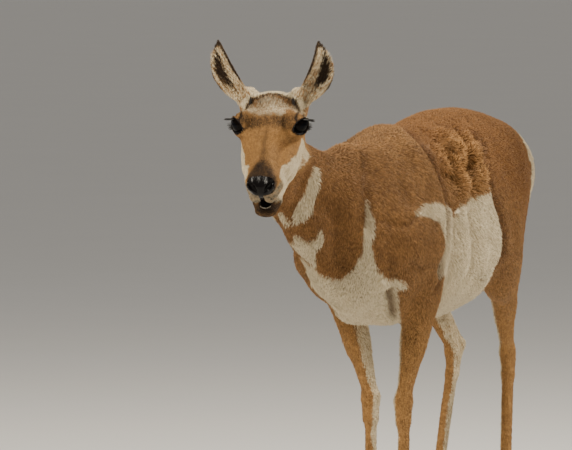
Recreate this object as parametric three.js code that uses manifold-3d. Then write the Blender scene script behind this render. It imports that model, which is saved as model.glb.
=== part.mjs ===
import * as THREE from 'three';
import Module from 'manifold-3d';

// A doe pronghorn standing still, life size, in millimetres. Z is up, the ground is z = 0,
// she faces -Y and her left side is +X. Every surface is the outline of the coat's tips.

const wasm = await Module();
wasm.setup();

// clearances and meshing
const gap = 0.3;
const marchStep = 3;
const bisections = 18;
const farAway = 400;
const crumb = 1;
const bodyRings = 25, bodySides = 20;
const legRings = 20, legSides = 12;
const headRings = 17, headSides = 22;
const ballDetail = 2;

// stance
const withersHeight = 850;
const croupHeight = 868;

// the head: place of the middle between the eyes, turn to the side, nose down
const headPlace = [ - 81, - 545, 868 ];
const headTurn = 13.5;
const headDip = 40;

// eyes
const eyeRadius = 19;
const eyePlace = [ 53, 4, 8 ];
const eyeOpening = 16.5;
const eyeGaze = [ 0.66, - 0.66, 0.34 ];

// ears
const earLength = 122;
const earHalfWidth = 25;
const earWall = 3.6;
const earHollow = 0.62;
const earBuried = 0.12;
const earRoot = [ 46, 64, 6 ];
const earAxis = [ 0.38, 0.62, 0.69 ];
const earBow = 20;
const earSway = - 12;
const earFacing = [ 0.34, - 0.725, 0.489 ];

// horns
const hornLength = 22;
const hornRadius = 4.5;
const hornRoot = [ 37, 42, 12 ];
const hornLean = [ 0.1, 0.45, 0.88 ];

// mouth
const mouthPlace = [ 0, - 142, - 60 ];
const mouthHalf = [ 24, 27, 8 ];
const teethArc = 11;
const teethRadius = 2.2;
const teethPlace = [ 0, - 124, - 66 ];

// feet
const clawLength = 60;
const clawHalfWidth = 12;
const clawSpread = 13;
const clawTop = 46;
const clawInnerFlat = 2;
const clawTaper = 0.02;
const clawPoint = 0.28;
const toeSlope = 0.72;
const heelSlope = 0.16;
const soleBevel = 1.2;
const coronetFront = [ 27, 41 ];
const coronetHeel = [ 58, 23 ];

// where the neck parts from the trunk: one point on the cut and its normal, looking up the neck
const neckCutPoint = [ 0, - 306, 734 ];
const neckCutNormal = [ 0, - 0.862, 0.506 ];

// tail
const tailRoot = [ 0, 382, 800 ];
const tailTip = [ 0, 420, 712 ];

// crossings of the trunk: y, top, bottom, half width, height of the widest place as a share
const trunkStations = [
	[ - 345, 758, 514, 82, 0.45 ],
	[ - 300, 808, 498, 96, 0.44 ],
	[ - 235, 842, 490, 106, 0.43 ],
	[ - 150, withersHeight, 487, 118, 0.42 ],
	[ - 60, 864, 486, 130, 0.40 ],
	[ 30, 879, 489, 138, 0.40 ],
	[ 110, 883, 507, 135, 0.44 ],
	[ 180, 879, 546, 122, 0.50 ],
	[ 245, croupHeight, 600, 106, 0.55 ],
	[ 310, 845, 650, 90, 0.60 ],
	[ 350, 817, 690, 72, 0.60 ],
];
const trunkEndCap = 50;

// joints of each leg: elbow or stifle, knee or hock, fetlock, tip of the toe on the ground
const stance = {
	fore_left: [[ 80, - 200, 545 ], [ 50, - 222, 333 ], [ 48, - 218, 116 ], [ 50, - 280, 0 ]],
	fore_right: [[ - 78, - 190, 545 ], [ - 32, - 182, 333 ], [ - 38, - 172, 116 ], [ - 40, - 234, 0 ]],
	hind_left: [[ 90, 150, 590 ], [ 58, 288, 388 ], [ 62, 262, 118 ], [ 64, 200, 0 ]],
	hind_right: [[ - 90, 144, 590 ], [ - 50, 276, 388 ], [ - 66, 222, 118 ], [ - 68, 160, 0 ]],
};

const colours = {
	coat: [ 0xa8642f, 0.88 ],
	face: [ 0x9a6a3c, 0.86 ],
	ear: [ 0xb08a64, 0.88 ],
	tail: [ 0xd8c8b0, 0.9 ],
	leg: [ 0xb57a45, 0.88 ],
	horn: [ 0x1c1815, 0.6 ],
	hoof: [ 0x24201d, 0.5 ],
	eye: [ 0x0b0808, 0.08 ],
	teeth: [ 0xe6dfcf, 0.4 ],
};

const vec = ( p ) => new THREE.Vector3( p[ 0 ], p[ 1 ], p[ 2 ] );
const plus = ( p, x, y, z ) => [ p[ 0 ] + x, p[ 1 ] + y, p[ 2 ] + z ];
const between = ( p, q, t ) => p.map( ( v, i ) => v + ( q[ i ] - v ) * t );

// the head's own frame: her left, back from the nose, up from the face
const turn = THREE.MathUtils.degToRad( headTurn );
const dip = THREE.MathUtils.degToRad( headDip );
const headLeft = new THREE.Vector3( Math.cos( turn ), Math.sin( turn ), 0 );
const headBack = new THREE.Vector3(
	- Math.sin( turn ) * Math.cos( dip ), Math.cos( turn ) * Math.cos( dip ), Math.sin( dip ) );
const headUp = new THREE.Vector3().crossVectors( headLeft, headBack );
const headFrame = new THREE.Matrix4().makeBasis( headLeft, headBack, headUp ).setPosition( vec( headPlace ) );

// A mass of the body: a tapering rounded bar between two points, flattened sideways by `wide`,
// melting into what it joins over `blend`.
function mass( from, to, startRadius, endRadius, wide, blend ) {

	return { from, to, startRadius, endRadius, wide, blend };

}

function mirrored( masses ) {

	const flip = ( p ) => [ - p[ 0 ], p[ 1 ], p[ 2 ] ];
	const paired = masses.filter( ( m ) => m.from[ 0 ] !== 0 || m.to[ 0 ] !== 0 );
	return masses.concat( paired.map( ( m ) => ( { ...m, from: flip( m.from ), to: flip( m.to ) } ) ) );

}

function massDistance( m, x, y, z ) {

	const dx = m.to[ 0 ] - m.from[ 0 ], dy = m.to[ 1 ] - m.from[ 1 ], dz = m.to[ 2 ] - m.from[ 2 ];
	const px = x - m.from[ 0 ], py = y - m.from[ 1 ], pz = z - m.from[ 2 ];
	const long = dx * dx + dy * dy + dz * dz;
	const t = long > 0 ? THREE.MathUtils.clamp( ( px * dx + py * dy + pz * dz ) / long, 0, 1 ) : 0;
	const radius = m.startRadius + t * ( m.endRadius - m.startRadius );
	const sx = ( px - t * dx ) / m.wide, sy = py - t * dy, sz = pz - t * dz;
	const reach = Math.sqrt( sx * sx + sy * sy + sz * sz );
	const pull = Math.sqrt( ( sx / m.wide ) ** 2 + sy * sy + sz * sz ) + 1e-6;
	return ( reach - radius ) * reach / pull;

}

function melt( a, b, blend ) {

	const h = Math.max( blend - Math.abs( a - b ), 0 ) / blend;
	return Math.min( a, b ) - h * h * blend / 4;

}

function fieldOf( masses, start = () => farAway ) {

	return ( p ) => masses.reduce(
		( d, m ) => melt( d, massDistance( m, p.x, p.y, p.z ), m.blend ), start( p ) );

}

// smooth values between the trunk's stations
function stationValue( y, column ) {

	const last = trunkStations.length - 1;
	const slope = ( i ) => {

		const a = Math.max( i - 1, 0 ), b = Math.min( i + 1, last );
		return ( trunkStations[ b ][ column ] - trunkStations[ a ][ column ] )
			/ ( trunkStations[ b ][ 0 ] - trunkStations[ a ][ 0 ] );

	};

	const at = THREE.MathUtils.clamp( y, trunkStations[ 0 ][ 0 ], trunkStations[ last ][ 0 ] );
	let i = 0;
	while ( i < last - 1 && at > trunkStations[ i + 1 ][ 0 ] ) i ++;
	const h = trunkStations[ i + 1 ][ 0 ] - trunkStations[ i ][ 0 ];
	const t = ( at - trunkStations[ i ][ 0 ] ) / h, u = 1 - t;
	return ( 1 + 2 * t ) * u * u * trunkStations[ i ][ column ] + t * u * u * h * slope( i )
		+ t * t * ( 3 - 2 * t ) * trunkStations[ i + 1 ][ column ] - t * t * u * h * slope( i + 1 );

}

function trunkMiddle( y ) {

	const bottom = stationValue( y, 2 );
	return bottom + stationValue( y, 4 ) * ( stationValue( y, 1 ) - bottom );

}

function trunkDistance( p ) {

	const wide = stationValue( p.y, 3 ), middle = trunkMiddle( p.y );
	const high = p.z > middle ? stationValue( p.y, 1 ) - middle : middle - stationValue( p.y, 2 );
	const first = trunkStations[ 0 ][ 0 ], last = trunkStations[ trunkStations.length - 1 ][ 0 ];
	const beyond = ( Math.min( p.y - first, 0 ) + Math.max( p.y - last, 0 ) ) / trunkEndCap;
	const sx = p.x / wide, sz = ( p.z - middle ) / high;
	const reach = Math.sqrt( sx * sx + sz * sz + beyond * beyond );
	const pull = Math.sqrt( ( sx / wide ) ** 2 + ( sz / high ) ** 2 + ( beyond / trunkEndCap ) ** 2 ) + 1e-9;
	return reach * ( reach - 1 ) / pull;

}

const trunkMasses = mirrored( [
	mass( [ 30, - 318, 606 ], [ 38, - 262, 540 ], 50, 44, 0.9, 30 ),
	mass( [ 38, 262, 786 ], [ 44, 326, 736 ], 47, 48, 0.9, 30 ),
	mass( [ 22, 346, 786 ], [ 24, 362, 724 ], 34, 34, 1, 24 ),
] );

const neckMasses = [
	mass( [ 0, - 215, 715 ], [ - 14, - 320, 706 ], 118, 88, 0.68, 44 ),
	mass( [ - 8, - 310, 716 ], [ - 76, - 460, 790 ], 76, 50, 0.78, 30 ),
	mass( [ 0, - 195, 800 ], [ - 22, - 335, 790 ], 44, 38, 0.8, 26 ), // crest
	mass( [ - 22, - 335, 790 ], [ - 50, - 402, 764 ], 38, 34, 0.85, 26 ),
	mass( [ - 52, - 402, 766 ], [ - 92, - 500, 852 ], 36, 34, 0.95, 24 ), // nape
	mass( [ - 16, - 350, 645 ], [ - 86, - 495, 752 ], 46, 34, 0.8, 30 ), // throat
	mass( [ - 86, - 492, 742 ], [ - 54, - 431, 674 ], 34, 40, 0.82, 24 ), // its full lower edge
	mass( [ - 54, - 431, 674 ], [ - 28, - 385, 588 ], 40, 42, 0.9, 26 ),
];

const headMasses = mirrored( [
	mass( [ 0, 54, - 8 ], [ 0, 20, - 8 ], 39, 38, 1.06, 14 ), // brain case
	mass( [ 0, 36, 0 ], [ 0, - 18, - 4 ], 33, 31, 1.45, 14 ), // forehead
	mass( [ 49, 8, 7 ], [ 50, - 2, 5 ], 22, 21, 0.9, 12 ), // eye socket
	mass( [ 36, 18, 16 ], [ 47, - 6, 16 ], 13, 11, 1, 8 ), // brow
	mass( [ 0, - 10, - 8 ], [ 0, - 116, - 15 ], 32, 22, 0.9, 14 ), // bridge of the nose
	mass( [ 42, - 6, - 22 ], [ 33, - 72, - 28 ], 17, 14, 0.8, 12 ), // cheekbone
	mass( [ 33, 30, - 50 ], [ 31, - 36, - 54 ], 35, 30, 0.62, 14 ), // jaw muscle
	mass( [ 23, - 40, - 40 ], [ 19, - 104, - 35 ], 28, 21, 0.85, 14 ), // side of the face
	mass( [ 0, 20, - 66 ], [ 0, - 106, - 77 ], 27, 14, 0.95, 14 ), // lower jaw
	mass( [ 31, - 16, - 70 ], [ 16, - 104, - 78 ], 17, 11, 0.85, 12 ), // its two sides
	mass( [ 0, - 110, - 19 ], [ 0, - 130, - 21 ], 26, 24, 1.1, 12 ), // muzzle
	mass( [ 15, - 126, - 7 ], [ 16.5, - 139, - 11 ], 13, 12, 0.95, 7 ), // wing of the nostril
	mass( [ 15, - 122, - 35 ], [ 13, - 134, - 37 ], 15.5, 13, 1.05, 7 ), // upper lip
	mass( [ 0, - 106, - 82 ], [ 0, - 129, - 85 ], 15, 12, 1.9, 8 ), // chin
	mass( [ 0, 52, - 50 ], [ 0, 30, - 66 ], 36, 28, 0.8, 20 ), // throat latch
] );

function forelegMasses( side, [ elbow, knee, fetlock, toe ] ) {

	const shinTop = between( knee, fetlock, 0.12 );
	const ahead = side < 0 ? 12 : 0; // her right shoulder is the further one forward
	return [
		mass( [ side * 64, - 185, 770 ], [ side * 88, - 266, 666 ], 56, 71, 0.56, 30 ), // shoulder blade
		mass( [ side * ( 80 + ahead ), - 285 - ahead, 640 - 1.5 * ahead ],
			[ side * ( 72 + ahead ), - 262 - ahead, 600 - ahead ], 56, 49, 0.75, 28 ), // point of the shoulder
		mass( [ side * 82, - 172, 700 ], [ side * 88, - 200, 590 ], 54, 47, 0.64, 26 ), // triceps
		mass( elbow, plus( knee, 0, 0, 24 ), 43, 19, 0.72, 22 ), // forearm
		mass( plus( elbow, 0, - 12, - 12 ), plus( between( elbow, knee, 0.45 ), 0, - 6, 0 ), 34, 24, 0.75, 18 ),
		mass( plus( knee, 0, 0, 14 ), plus( knee, 0, 0, - 16 ), 20, 18, 0.92, 16 ), // knee
		mass( shinTop, plus( fetlock, 0, 2, 10 ), 13.5, 13, 0.88, 12 ), // cannon
		mass( plus( shinTop, 0, 9, 0 ), plus( fetlock, 0, 10, 12 ), 9, 9, 0.85, 8 ), // tendons
		...footMasses( fetlock, toe ),
	];

}

function hindlegMasses( side, [ stifle, hock, fetlock, toe ] ) {

	const heel = plus( hock, - side * 7, 24, 30 );
	const shankTop = between( hock, fetlock, 0.1 );
	return [
		mass( [ side * 66, 205, 752 ], [ side * 90, 152, 615 ], 92, 62, 0.58, 34 ), // thigh
		mass( [ side * 52, 290, 745 ], [ side * 72, 238, 585 ], 70, 48, 0.62, 30 ), // back of the thigh
		mass( plus( stifle, 0, 5, 25 ), plus( stifle, 0, 14, - 30 ), 56, 50, 0.62, 26 ), // stifle
		mass( plus( stifle, 0, 16, 0 ), plus( hock, 0, - 4, 30 ), 50, 21, 0.6, 24 ), // gaskin
		mass( plus( stifle, 0, 60, 0 ), plus( between( stifle, hock, 0.55 ), 0, 14, 10 ), 36, 20, 0.6, 20 ),
		mass( plus( between( stifle, hock, 0.5 ), 0, 34, 18 ), heel, 12, 10, 0.75, 14 ), // heel cord
		mass( plus( hock, 0, - 2, 14 ), plus( hock, 0, 2, - 20 ), 22, 18, 0.7, 14 ), // hock
		mass( heel, plus( hock, 0, 16, 0 ), 11.5, 12, 0.85, 9 ), // point of the hock
		mass( shankTop, plus( fetlock, 0, 0, 10 ), 14.5, 13, 0.85, 12 ), // cannon
		mass( plus( shankTop, 0, 11, 0 ), plus( fetlock, 0, 10, 12 ), 9, 9, 0.85, 8 ), // tendons
		...footMasses( fetlock, toe ),
	];

}

function footMasses( fetlock, toe ) {

	return [
		mass( plus( fetlock, 0, 2, 8 ), plus( fetlock, 0, 6, - 6 ), 17, 16.5, 0.92, 10 ), // fetlock
		mass( fetlock, plus( toe, 0, 38, 46 ), 14, 17, 1.12, 8 ), // pastern
		mass( plus( toe, 0, 40, 38 ), plus( toe, 0, 48, 26 ), 17, 13, 1.35, 8 ), // coronet and heel bulbs
	];

}

// Solids

const place = new THREE.Vector3();

function solidFrom( points, faces ) {

	let volume = 0;
	for ( const [ a, b, c ] of faces ) {

		volume += points[ a ].dot( place.crossVectors( points[ b ], points[ c ] ) );

	}

	const outward = volume > 0 ? faces : faces.map( ( [ a, b, c ] ) => [ a, c, b ] );
	return new wasm.Manifold( new wasm.Mesh( {
		numProp: 3,
		vertProperties: new Float32Array( points.flatMap( ( p ) => p.toArray() ) ),
		triVerts: new Uint32Array( outward.flat() ),
	} ) );

}

// closed skin over rings of points, each ring a loop of the same count, with a point at each end
function skinOver( rings, firstPole, lastPole ) {

	const around = rings[ 0 ].length;
	const points = [ firstPole, ...rings.flat(), lastPole ];
	const faces = [];
	const at = ( ring, i ) => 1 + ring * around + ( ( i + around ) % around );
	for ( let i = 0; i < around; i ++ ) {

		faces.push( [ 0, at( 0, i + 1 ), at( 0, i ) ] );
		faces.push( [ points.length - 1, at( rings.length - 1, i ), at( rings.length - 1, i + 1 ) ] );
		for ( let r = 0; r < rings.length - 1; r ++ ) {

			faces.push( [ at( r, i ), at( r, i + 1 ), at( r + 1, i + 1 ) ] );
			faces.push( [ at( r, i ), at( r + 1, i + 1 ), at( r + 1, i ) ] );

		}

	}

	return solidFrom( points, faces );

}

function outTo( field, level, from, towards ) {

	const p = new THREE.Vector3();
	const at = ( r ) => field( p.copy( from ).addScaledVector( towards, r ) ) - level;
	let far = marchStep;
	while ( at( far ) < 0 && far < farAway ) far += marchStep;
	let near = far - marchStep;
	for ( let i = 0; i < bisections; i ++ ) {

		const half = ( near + far ) / 2;
		if ( at( half ) < 0 ) near = half;
		else far = half;

	}

	return from.clone().addScaledVector( towards, ( near + far ) / 2 );

}

// Rings of rays from a curve inside the form out to its surface, closed over both ends by tilting
// the rays along the curve.
function wrap( { field, spine, rings, around, tilts, level = 0 } ) {

	const curve = new THREE.CatmullRomCurve3( spine.map( vec ), false, 'centripetal' );
	const loops = [];
	const poles = [];
	const steps = tilts.map( ( t ) => [ 0, - t ] ).reverse()
		.concat( Array.from( { length: rings }, ( _, i ) => [ i / ( rings - 1 ), 0 ] ) )
		.concat( tilts.map( ( t ) => [ 1, t ] ) );
	for ( const [ share, tilt ] of steps ) {

		const from = curve.getPointAt( share ), along = curve.getTangentAt( share );
		const side = new THREE.Vector3( 1, 0, 0 ).addScaledVector( along, - along.x ).normalize();
		const up = new THREE.Vector3().crossVectors( side, along );
		const lean = THREE.MathUtils.degToRad( tilt );
		loops.push( Array.from( { length: around }, ( _, i ) => {

			const a = 2 * Math.PI * i / around;
			const ray = new THREE.Vector3()
				.addScaledVector( side, Math.cos( a ) * Math.cos( lean ) )
				.addScaledVector( up, Math.sin( a ) * Math.cos( lean ) )
				.addScaledVector( along, Math.sin( lean ) );
			return outTo( field, level, from, ray );

		} ) );

	}

	for ( const share of [ 0, 1 ] ) {

		const along = curve.getTangentAt( share ).multiplyScalar( share === 0 ? - 1 : 1 );
		poles.push( outTo( field, level, curve.getPointAt( share ), along ) );

	}

	return skinOver( loops, poles[ 0 ], poles[ 1 ] );

}

// a round or flattened ball, by its half sizes, in the head's frame
function headBall( at, half, grow = 0 ) {

	const ball = new THREE.IcosahedronGeometry( 1, ballDetail );
	return fromGeometry( ball.scale( half[ 0 ] + grow, half[ 1 ] + grow, half[ 2 ] + grow )
		.translate( at[ 0 ], at[ 1 ], at[ 2 ] ).applyMatrix4( headFrame ) );

}

// a solid from one of three's geometries, its doubled corners joined
function fromGeometry( geometry ) {

	const source = geometry.index ? geometry.toNonIndexed() : geometry;
	const corners = source.attributes.position;
	const known = new Map();
	const points = [];
	const ids = Array.from( { length: corners.count }, ( _, i ) => {

		const p = new THREE.Vector3().fromBufferAttribute( corners, i );
		const key = p.toArray().map( ( v ) => Math.round( v * 1000 ) ).join();
		if ( ! known.has( key ) ) known.set( key, points.push( p ) - 1 );
		return known.get( key );

	} );
	const faces = [];
	for ( let i = 0; i < ids.length; i += 3 ) {

		const [ a, b, c ] = ids.slice( i, i + 3 );
		if ( a !== b && b !== c && c !== a ) faces.push( [ a, b, c ] );

	}

	return solidFrom( points, faces );

}

// cuts the tools away and drops the crumbs, in cubic millimetres
function cutFrom( solid, tools ) {

	const left = tools.reduce( ( a, b ) => a.subtract( b ), solid );
	return wasm.Manifold.compose( left.decompose().filter( ( body ) => body.volume() > crumb ) );

}

const lift = ( p ) => vec( p ).applyMatrix4( headFrame );

// legs, each from the shoulder or hip down to the coronet

const legSpines = {
	fore: ( side, [ elbow, knee, fetlock, toe ] ) => [
		[ side * 64, - 200, 776 ], [ side * 76, - 206, 690 ], [ side * 80, - 206, 610 ], elbow,
		between( elbow, knee, 0.5 ), knee, between( knee, fetlock, 0.5 ), fetlock, plus( toe, 0, 40, 42 ),
	],
	hind: ( side, [ stifle, hock, fetlock, toe ] ) => [
		[ side * 62, 226, 764 ], [ side * 78, 210, 680 ], plus( stifle, - side * 2, 42, 10 ),
		plus( between( stifle, hock, 0.4 ), 0, 16, 0 ), plus( between( stifle, hock, 0.75 ), 0, 8, 8 ),
		hock, between( hock, fetlock, 0.5 ), fetlock, plus( toe, 0, 40, 42 ),
	],
};

function legShape( name, level ) {

	const [ kind, which ] = name.split( '_' );
	const side = which === 'left' ? 1 : - 1;
	const joints = stance[ name ];
	const masses = kind === 'fore' ? forelegMasses( side, joints ) : hindlegMasses( side, joints );
	return wrap( {
		field: fieldOf( masses ),
		spine: legSpines[ kind ]( side, joints ),
		rings: legRings,
		around: legSides,
		tilts: [ 30, 60 ],
		level,
	} );

}

// the coronet's plane at one foot, as a normal looking up and its distance from the origin
function coronet( toe ) {

	const run = coronetHeel[ 0 ] - coronetFront[ 0 ], drop = coronetHeel[ 1 ] - coronetFront[ 1 ];
	const normal = new THREE.Vector3( 0, - drop, run ).normalize();
	const on = new THREE.Vector3( toe[ 0 ], toe[ 1 ] + coronetFront[ 0 ], coronetFront[ 1 ] );
	return [ normal.toArray(), normal.dot( on ) ];

}

function claw( toe, outward ) {

	const levels = [ 0, 2, 16, clawTop ];
	const around = 10;
	const centre = toe[ 0 ] + outward * clawSpread;
	const rings = levels.map( ( z, n ) => {

		const bevel = n === 0 ? soleBevel : 0;
		const front = toe[ 1 ] + z * toeSlope + bevel;
		const back = toe[ 1 ] + clawLength - z * heelSlope - bevel;
		const half = ( back - front ) / 2;
		return Array.from( { length: around }, ( _, i ) => {

			const a = 2 * Math.PI * i / around;
			const wide = ( clawHalfWidth - bevel - z * clawTaper ) * Math.sin( a ) * ( 1 - clawPoint * Math.cos( a ) );
			const flat = Math.max( wide, - clawHalfWidth + clawInnerFlat );
			return new THREE.Vector3( centre + outward * flat, ( front + back ) / 2 - half * Math.cos( a ), z );

		} );

	} );
	const middle = ( ring ) => ring.reduce( ( s, p ) => s.add( p ), new THREE.Vector3() ).divideScalar( around );
	return skinOver( rings, middle( rings[ 0 ] ), middle( rings[ rings.length - 1 ] ) );

}

// ears: a pointed leaf, hollow towards the front, closed to a funnel at its root

function ear( side, grow ) {

	const along = vec( earAxis ).normalize();
	const facing = vec( earFacing ).addScaledVector( along, - vec( earFacing ).dot( along ) ).normalize();
	const across = new THREE.Vector3().crossVectors( along, facing );
	const rows = 12, columns = 7;
	const sheet = ( u, v, out ) => {

		const spread = Math.sin( Math.PI * ( 0.24 + 0.76 * THREE.MathUtils.clamp( u, 0, 1 ) ) );
		const wide = earHalfWidth * Math.max( spread, 0 ) ** 0.8;
		const bend = 1.25 - 0.75 * u, a = bend * v;
		const slope = new THREE.Vector2( Math.cos( a ) / Math.sin( bend ), earHollow * Math.sin( a ) ).normalize();
		const rim = Math.abs( v ) === 1 ? grow * v : 0;
		const p = vec( earRoot )
			.addScaledVector( along, earLength * u )
			.addScaledVector( across, wide * Math.sin( a ) / Math.sin( bend ) - slope.y * out + slope.x * rim )
			.addScaledVector( facing, wide * earHollow * ( 1 - Math.cos( a ) ) + slope.x * out + slope.y * rim );
		p.x = side * ( p.x + 4 * earBow * u * ( 1 - u ) ) + earSway * u * u;
		return p.applyMatrix4( headFrame );

	};

	const rings = [];
	for ( let i = 0; i < rows; i ++ ) {

		const u = - earBuried + ( 0.985 + earBuried ) * i / ( rows - 1 );
		const wall = ( earWall * ( 1 - 0.45 * Math.max( u, 0 ) ) ) / 2 + grow;
		const front = Array.from( { length: columns }, ( _, j ) => sheet( u, - 1 + 2 * j / ( columns - 1 ), wall ) );
		const rear = Array.from( { length: columns }, ( _, j ) => sheet( u, 1 - 2 * j / ( columns - 1 ), - wall ) );
		rings.push( [ ...front, ...rear ] );

	}

	return skinOver( rings, sheet( - earBuried - grow / earLength, 0, 0 ), sheet( 1 + grow / earLength, 0, 0 ) );

}

function horn( side, grow ) {

	const lean = vec( hornLean ).normalize();
	const cone = new THREE.ConeGeometry( hornRadius + grow, hornLength + 2 * grow, 10, 3 );
	cone.translate( 0, hornLength / 2, 0 )
		.applyQuaternion( new THREE.Quaternion().setFromUnitVectors( new THREE.Vector3( 0, 1, 0 ), lean ) )
		.translate( hornRoot[ 0 ], hornRoot[ 1 ], hornRoot[ 2 ] );
	if ( side < 0 ) cone.scale( - 1, 1, 1 );
	return fromGeometry( cone.applyMatrix4( headFrame ) );

}

function teeth( grow ) {

	const bow = new THREE.CatmullRomCurve3( [ - 60, - 30, 0, 30, 60 ].map( ( degrees ) => {

		const a = THREE.MathUtils.degToRad( degrees );
		return lift( plus( teethPlace, teethArc * Math.sin( a ), - teethArc * Math.cos( a ), 0 ) );

	} ) );
	const rings = 9, around = 8;
	const loops = Array.from( { length: rings }, ( _, i ) => {

		const t = i / ( rings - 1 );
		const from = bow.getPointAt( t ), along = bow.getTangentAt( t );
		const side = new THREE.Vector3().crossVectors( along, headUp ).normalize();
		const thick = ( teethRadius + grow ) * ( 0.55 + 0.45 * Math.sin( Math.PI * t ) );
		return Array.from( { length: around }, ( _, j ) => {

			const a = 2 * Math.PI * j / around;
			return from.clone().addScaledVector( side, thick * Math.cos( a ) )
				.addScaledVector( headUp, 1.5 * thick * Math.sin( a ) );

		} );

	} );
	const end = ( t, s ) => bow.getPointAt( t ).addScaledVector( bow.getTangentAt( t ), s * ( 0.6 + grow ) );
	return skinOver( loops, end( 0, - 1 ), end( 1, 1 ) );

}

// the whole, part by part

const sides = { left: 1, right: - 1 };
const solids = {};
const legNames = Object.keys( stance );

const body = wrap( {
	field: fieldOf( [ ...trunkMasses, ...neckMasses ], trunkDistance ),
	spine: [
		[ 0, 352, 765 ], [ 0, 240, trunkMiddle( 240 ) ], [ 0, 90, trunkMiddle( 90 ) ], [ 0, - 60, 662 ],
		[ 0, - 190, 668 ], [ 0, - 290, 690 ], [ - 18, - 365, 716 ], [ - 52, - 432, 768 ], [ - 80, - 486, 806 ],
	],
	rings: bodyRings,
	around: bodySides,
	tilts: [ 24, 48, 70 ],
} );
const headField = fieldOf( headMasses );
const headShape = ( level ) => wrap( {
	field: headField,
	spine: [ [ 0, 42, - 32 ], [ 0, 0, - 30 ], [ 0, - 60, - 34 ], [ 0, - 110, - 38 ], [ 0, - 132, - 38 ] ],
	rings: headRings,
	around: headSides,
	tilts: [ 22, 44, 66 ],
	level,
} ).transform( headFrame.toArray() );

const tailShape = ( level ) => wrap( {
	field: fieldOf( [
		mass( tailRoot, between( tailRoot, tailTip, 0.45 ), 20, 25, 1.15, 10 ),
		mass( between( tailRoot, tailTip, 0.45 ), tailTip, 25, 12, 1.15, 10 ),
	] ),
	spine: [ tailRoot, between( tailRoot, tailTip, 0.5 ), tailTip ],
	rings: 7,
	around: 12,
	tilts: [ 30, 60 ],
	level,
} );

// a part and the clearance round it
const grown = ( shape ) => shape( gap ).add( shape( 0 ) );
const legsGrown = legNames.map( ( name ) => grown( ( level ) => legShape( name, level ) ) );
const headGrown = grown( headShape );
const cutPlane = new THREE.Vector3( ...neckCutNormal ).normalize();
const cutAt = cutPlane.dot( vec( neckCutPoint ) );
const beforeCut = body.trimByPlane( cutPlane.toArray(), cutAt + gap / 2 );
const behindCut = body.trimByPlane( cutPlane.clone().negate().toArray(), - cutAt + gap / 2 );

solids.trunk = cutFrom( behindCut, [ ...legsGrown, grown( tailShape ) ] );
solids.neck = cutFrom( beforeCut, [ headGrown, ...legsGrown ] );
solids.tail = tailShape( 0 );

const earsGrown = Object.values( sides ).map( ( side ) => ear( side, 2 * gap ) );
const hornsGrown = Object.values( sides ).map( ( side ) => horn( side, gap ) );
const gaze = vec( eyeGaze ).normalize();
const eyeBall = ( side, grow ) => headBall(
	[ side * eyePlace[ 0 ], eyePlace[ 1 ], eyePlace[ 2 ] ], [ eyeRadius, eyeRadius, eyeRadius ], grow );
const eyeHoles = Object.values( sides ).map( ( side ) => eyeBall( side, gap ) );
const lidOpenings = Object.values( sides ).map( ( side ) => headBall(
	[ side * ( eyePlace[ 0 ] + gaze.x * eyeOpening ), eyePlace[ 1 ] + gaze.y * eyeOpening,
		eyePlace[ 2 ] + gaze.z * eyeOpening ],
	[ eyeOpening, eyeOpening, eyeOpening ] ) );
const mouthSlot = headBall( mouthPlace, mouthHalf );
solids.head = cutFrom( headShape( 0 ), [
	...earsGrown, ...hornsGrown, ...eyeHoles, ...lidOpenings, mouthSlot, grown( teeth ) ] );
solids.teeth_lower = teeth( 0 );

for ( const [ name, side ] of Object.entries( sides ) ) {

	solids[ `ear_${ name }` ] = ear( side, 0 );
	solids[ `horn_${ name }` ] = horn( side, 0 );
	solids[ `eye_${ name }` ] = eyeBall( side, 0 );

}

for ( const name of legNames ) {

	const toe = stance[ name ][ 3 ];
	const [ normal, level ] = coronet( toe );
	const down = normal.map( ( v ) => - v );
	solids[ `leg_${ name }` ] = legShape( name, 0 ).trimByPlane( normal, level + gap / 2 );
	for ( const [ which, outward ] of [[ 'outer', Math.sign( toe[ 0 ] ) ], [ 'inner', - Math.sign( toe[ 0 ] ) ]] ) {

		solids[ `hoof_${ name }_${ which }` ] = claw( toe, outward ).trimByPlane( down, - level + gap / 2 );

	}

}

function finishOf( name ) {

	if ( name.startsWith( 'hoof' ) ) return colours.hoof;
	if ( name.startsWith( 'horn' ) ) return colours.horn;
	if ( name.startsWith( 'eye' ) ) return colours.eye;
	if ( name.startsWith( 'ear' ) ) return colours.ear;
	if ( name.startsWith( 'leg' ) ) return colours.leg;
	if ( name.startsWith( 'teeth' ) ) return colours.teeth;
	if ( name === 'head' ) return colours.face;
	return name === 'tail' ? colours.tail : colours.coat;

}

function meshOf( name, solid ) {

	const { vertProperties, triVerts, numProp } = solid.getMesh();
	const geometry = new THREE.BufferGeometry();
	const corners = new Float32Array( vertProperties.length / numProp * 3 );
	for ( let i = 0; i < corners.length; i ++ ) {

		corners[ i ] = vertProperties[ Math.floor( i / 3 ) * numProp + i % 3 ];

	}

	geometry.setAttribute( 'position', new THREE.BufferAttribute( corners, 3 ) );
	geometry.setIndex( new THREE.BufferAttribute( new Uint32Array( triVerts ), 1 ) );
	geometry.computeVertexNormals();
	const [ colour, roughness ] = finishOf( name );
	const mesh = new THREE.Mesh( geometry, new THREE.MeshStandardMaterial( {
		name, color: colour, roughness, metalness: 0 } ) );
	mesh.name = name;
	return mesh;

}

const pronghorn = new THREE.Group();
pronghorn.name = 'pronghorn_doe';
for ( const [ name, solid ] of Object.entries( solids ) ) pronghorn.add( meshOf( name, solid ) );

// the origin goes under the middle of the whole
const bounds = new THREE.Box3().setFromObject( pronghorn );
const middle = bounds.getCenter( new THREE.Vector3() );
for ( const mesh of pronghorn.children ) mesh.geometry.translate( - middle.x, - middle.y, - bounds.min.z );

export default pronghorn;
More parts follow.
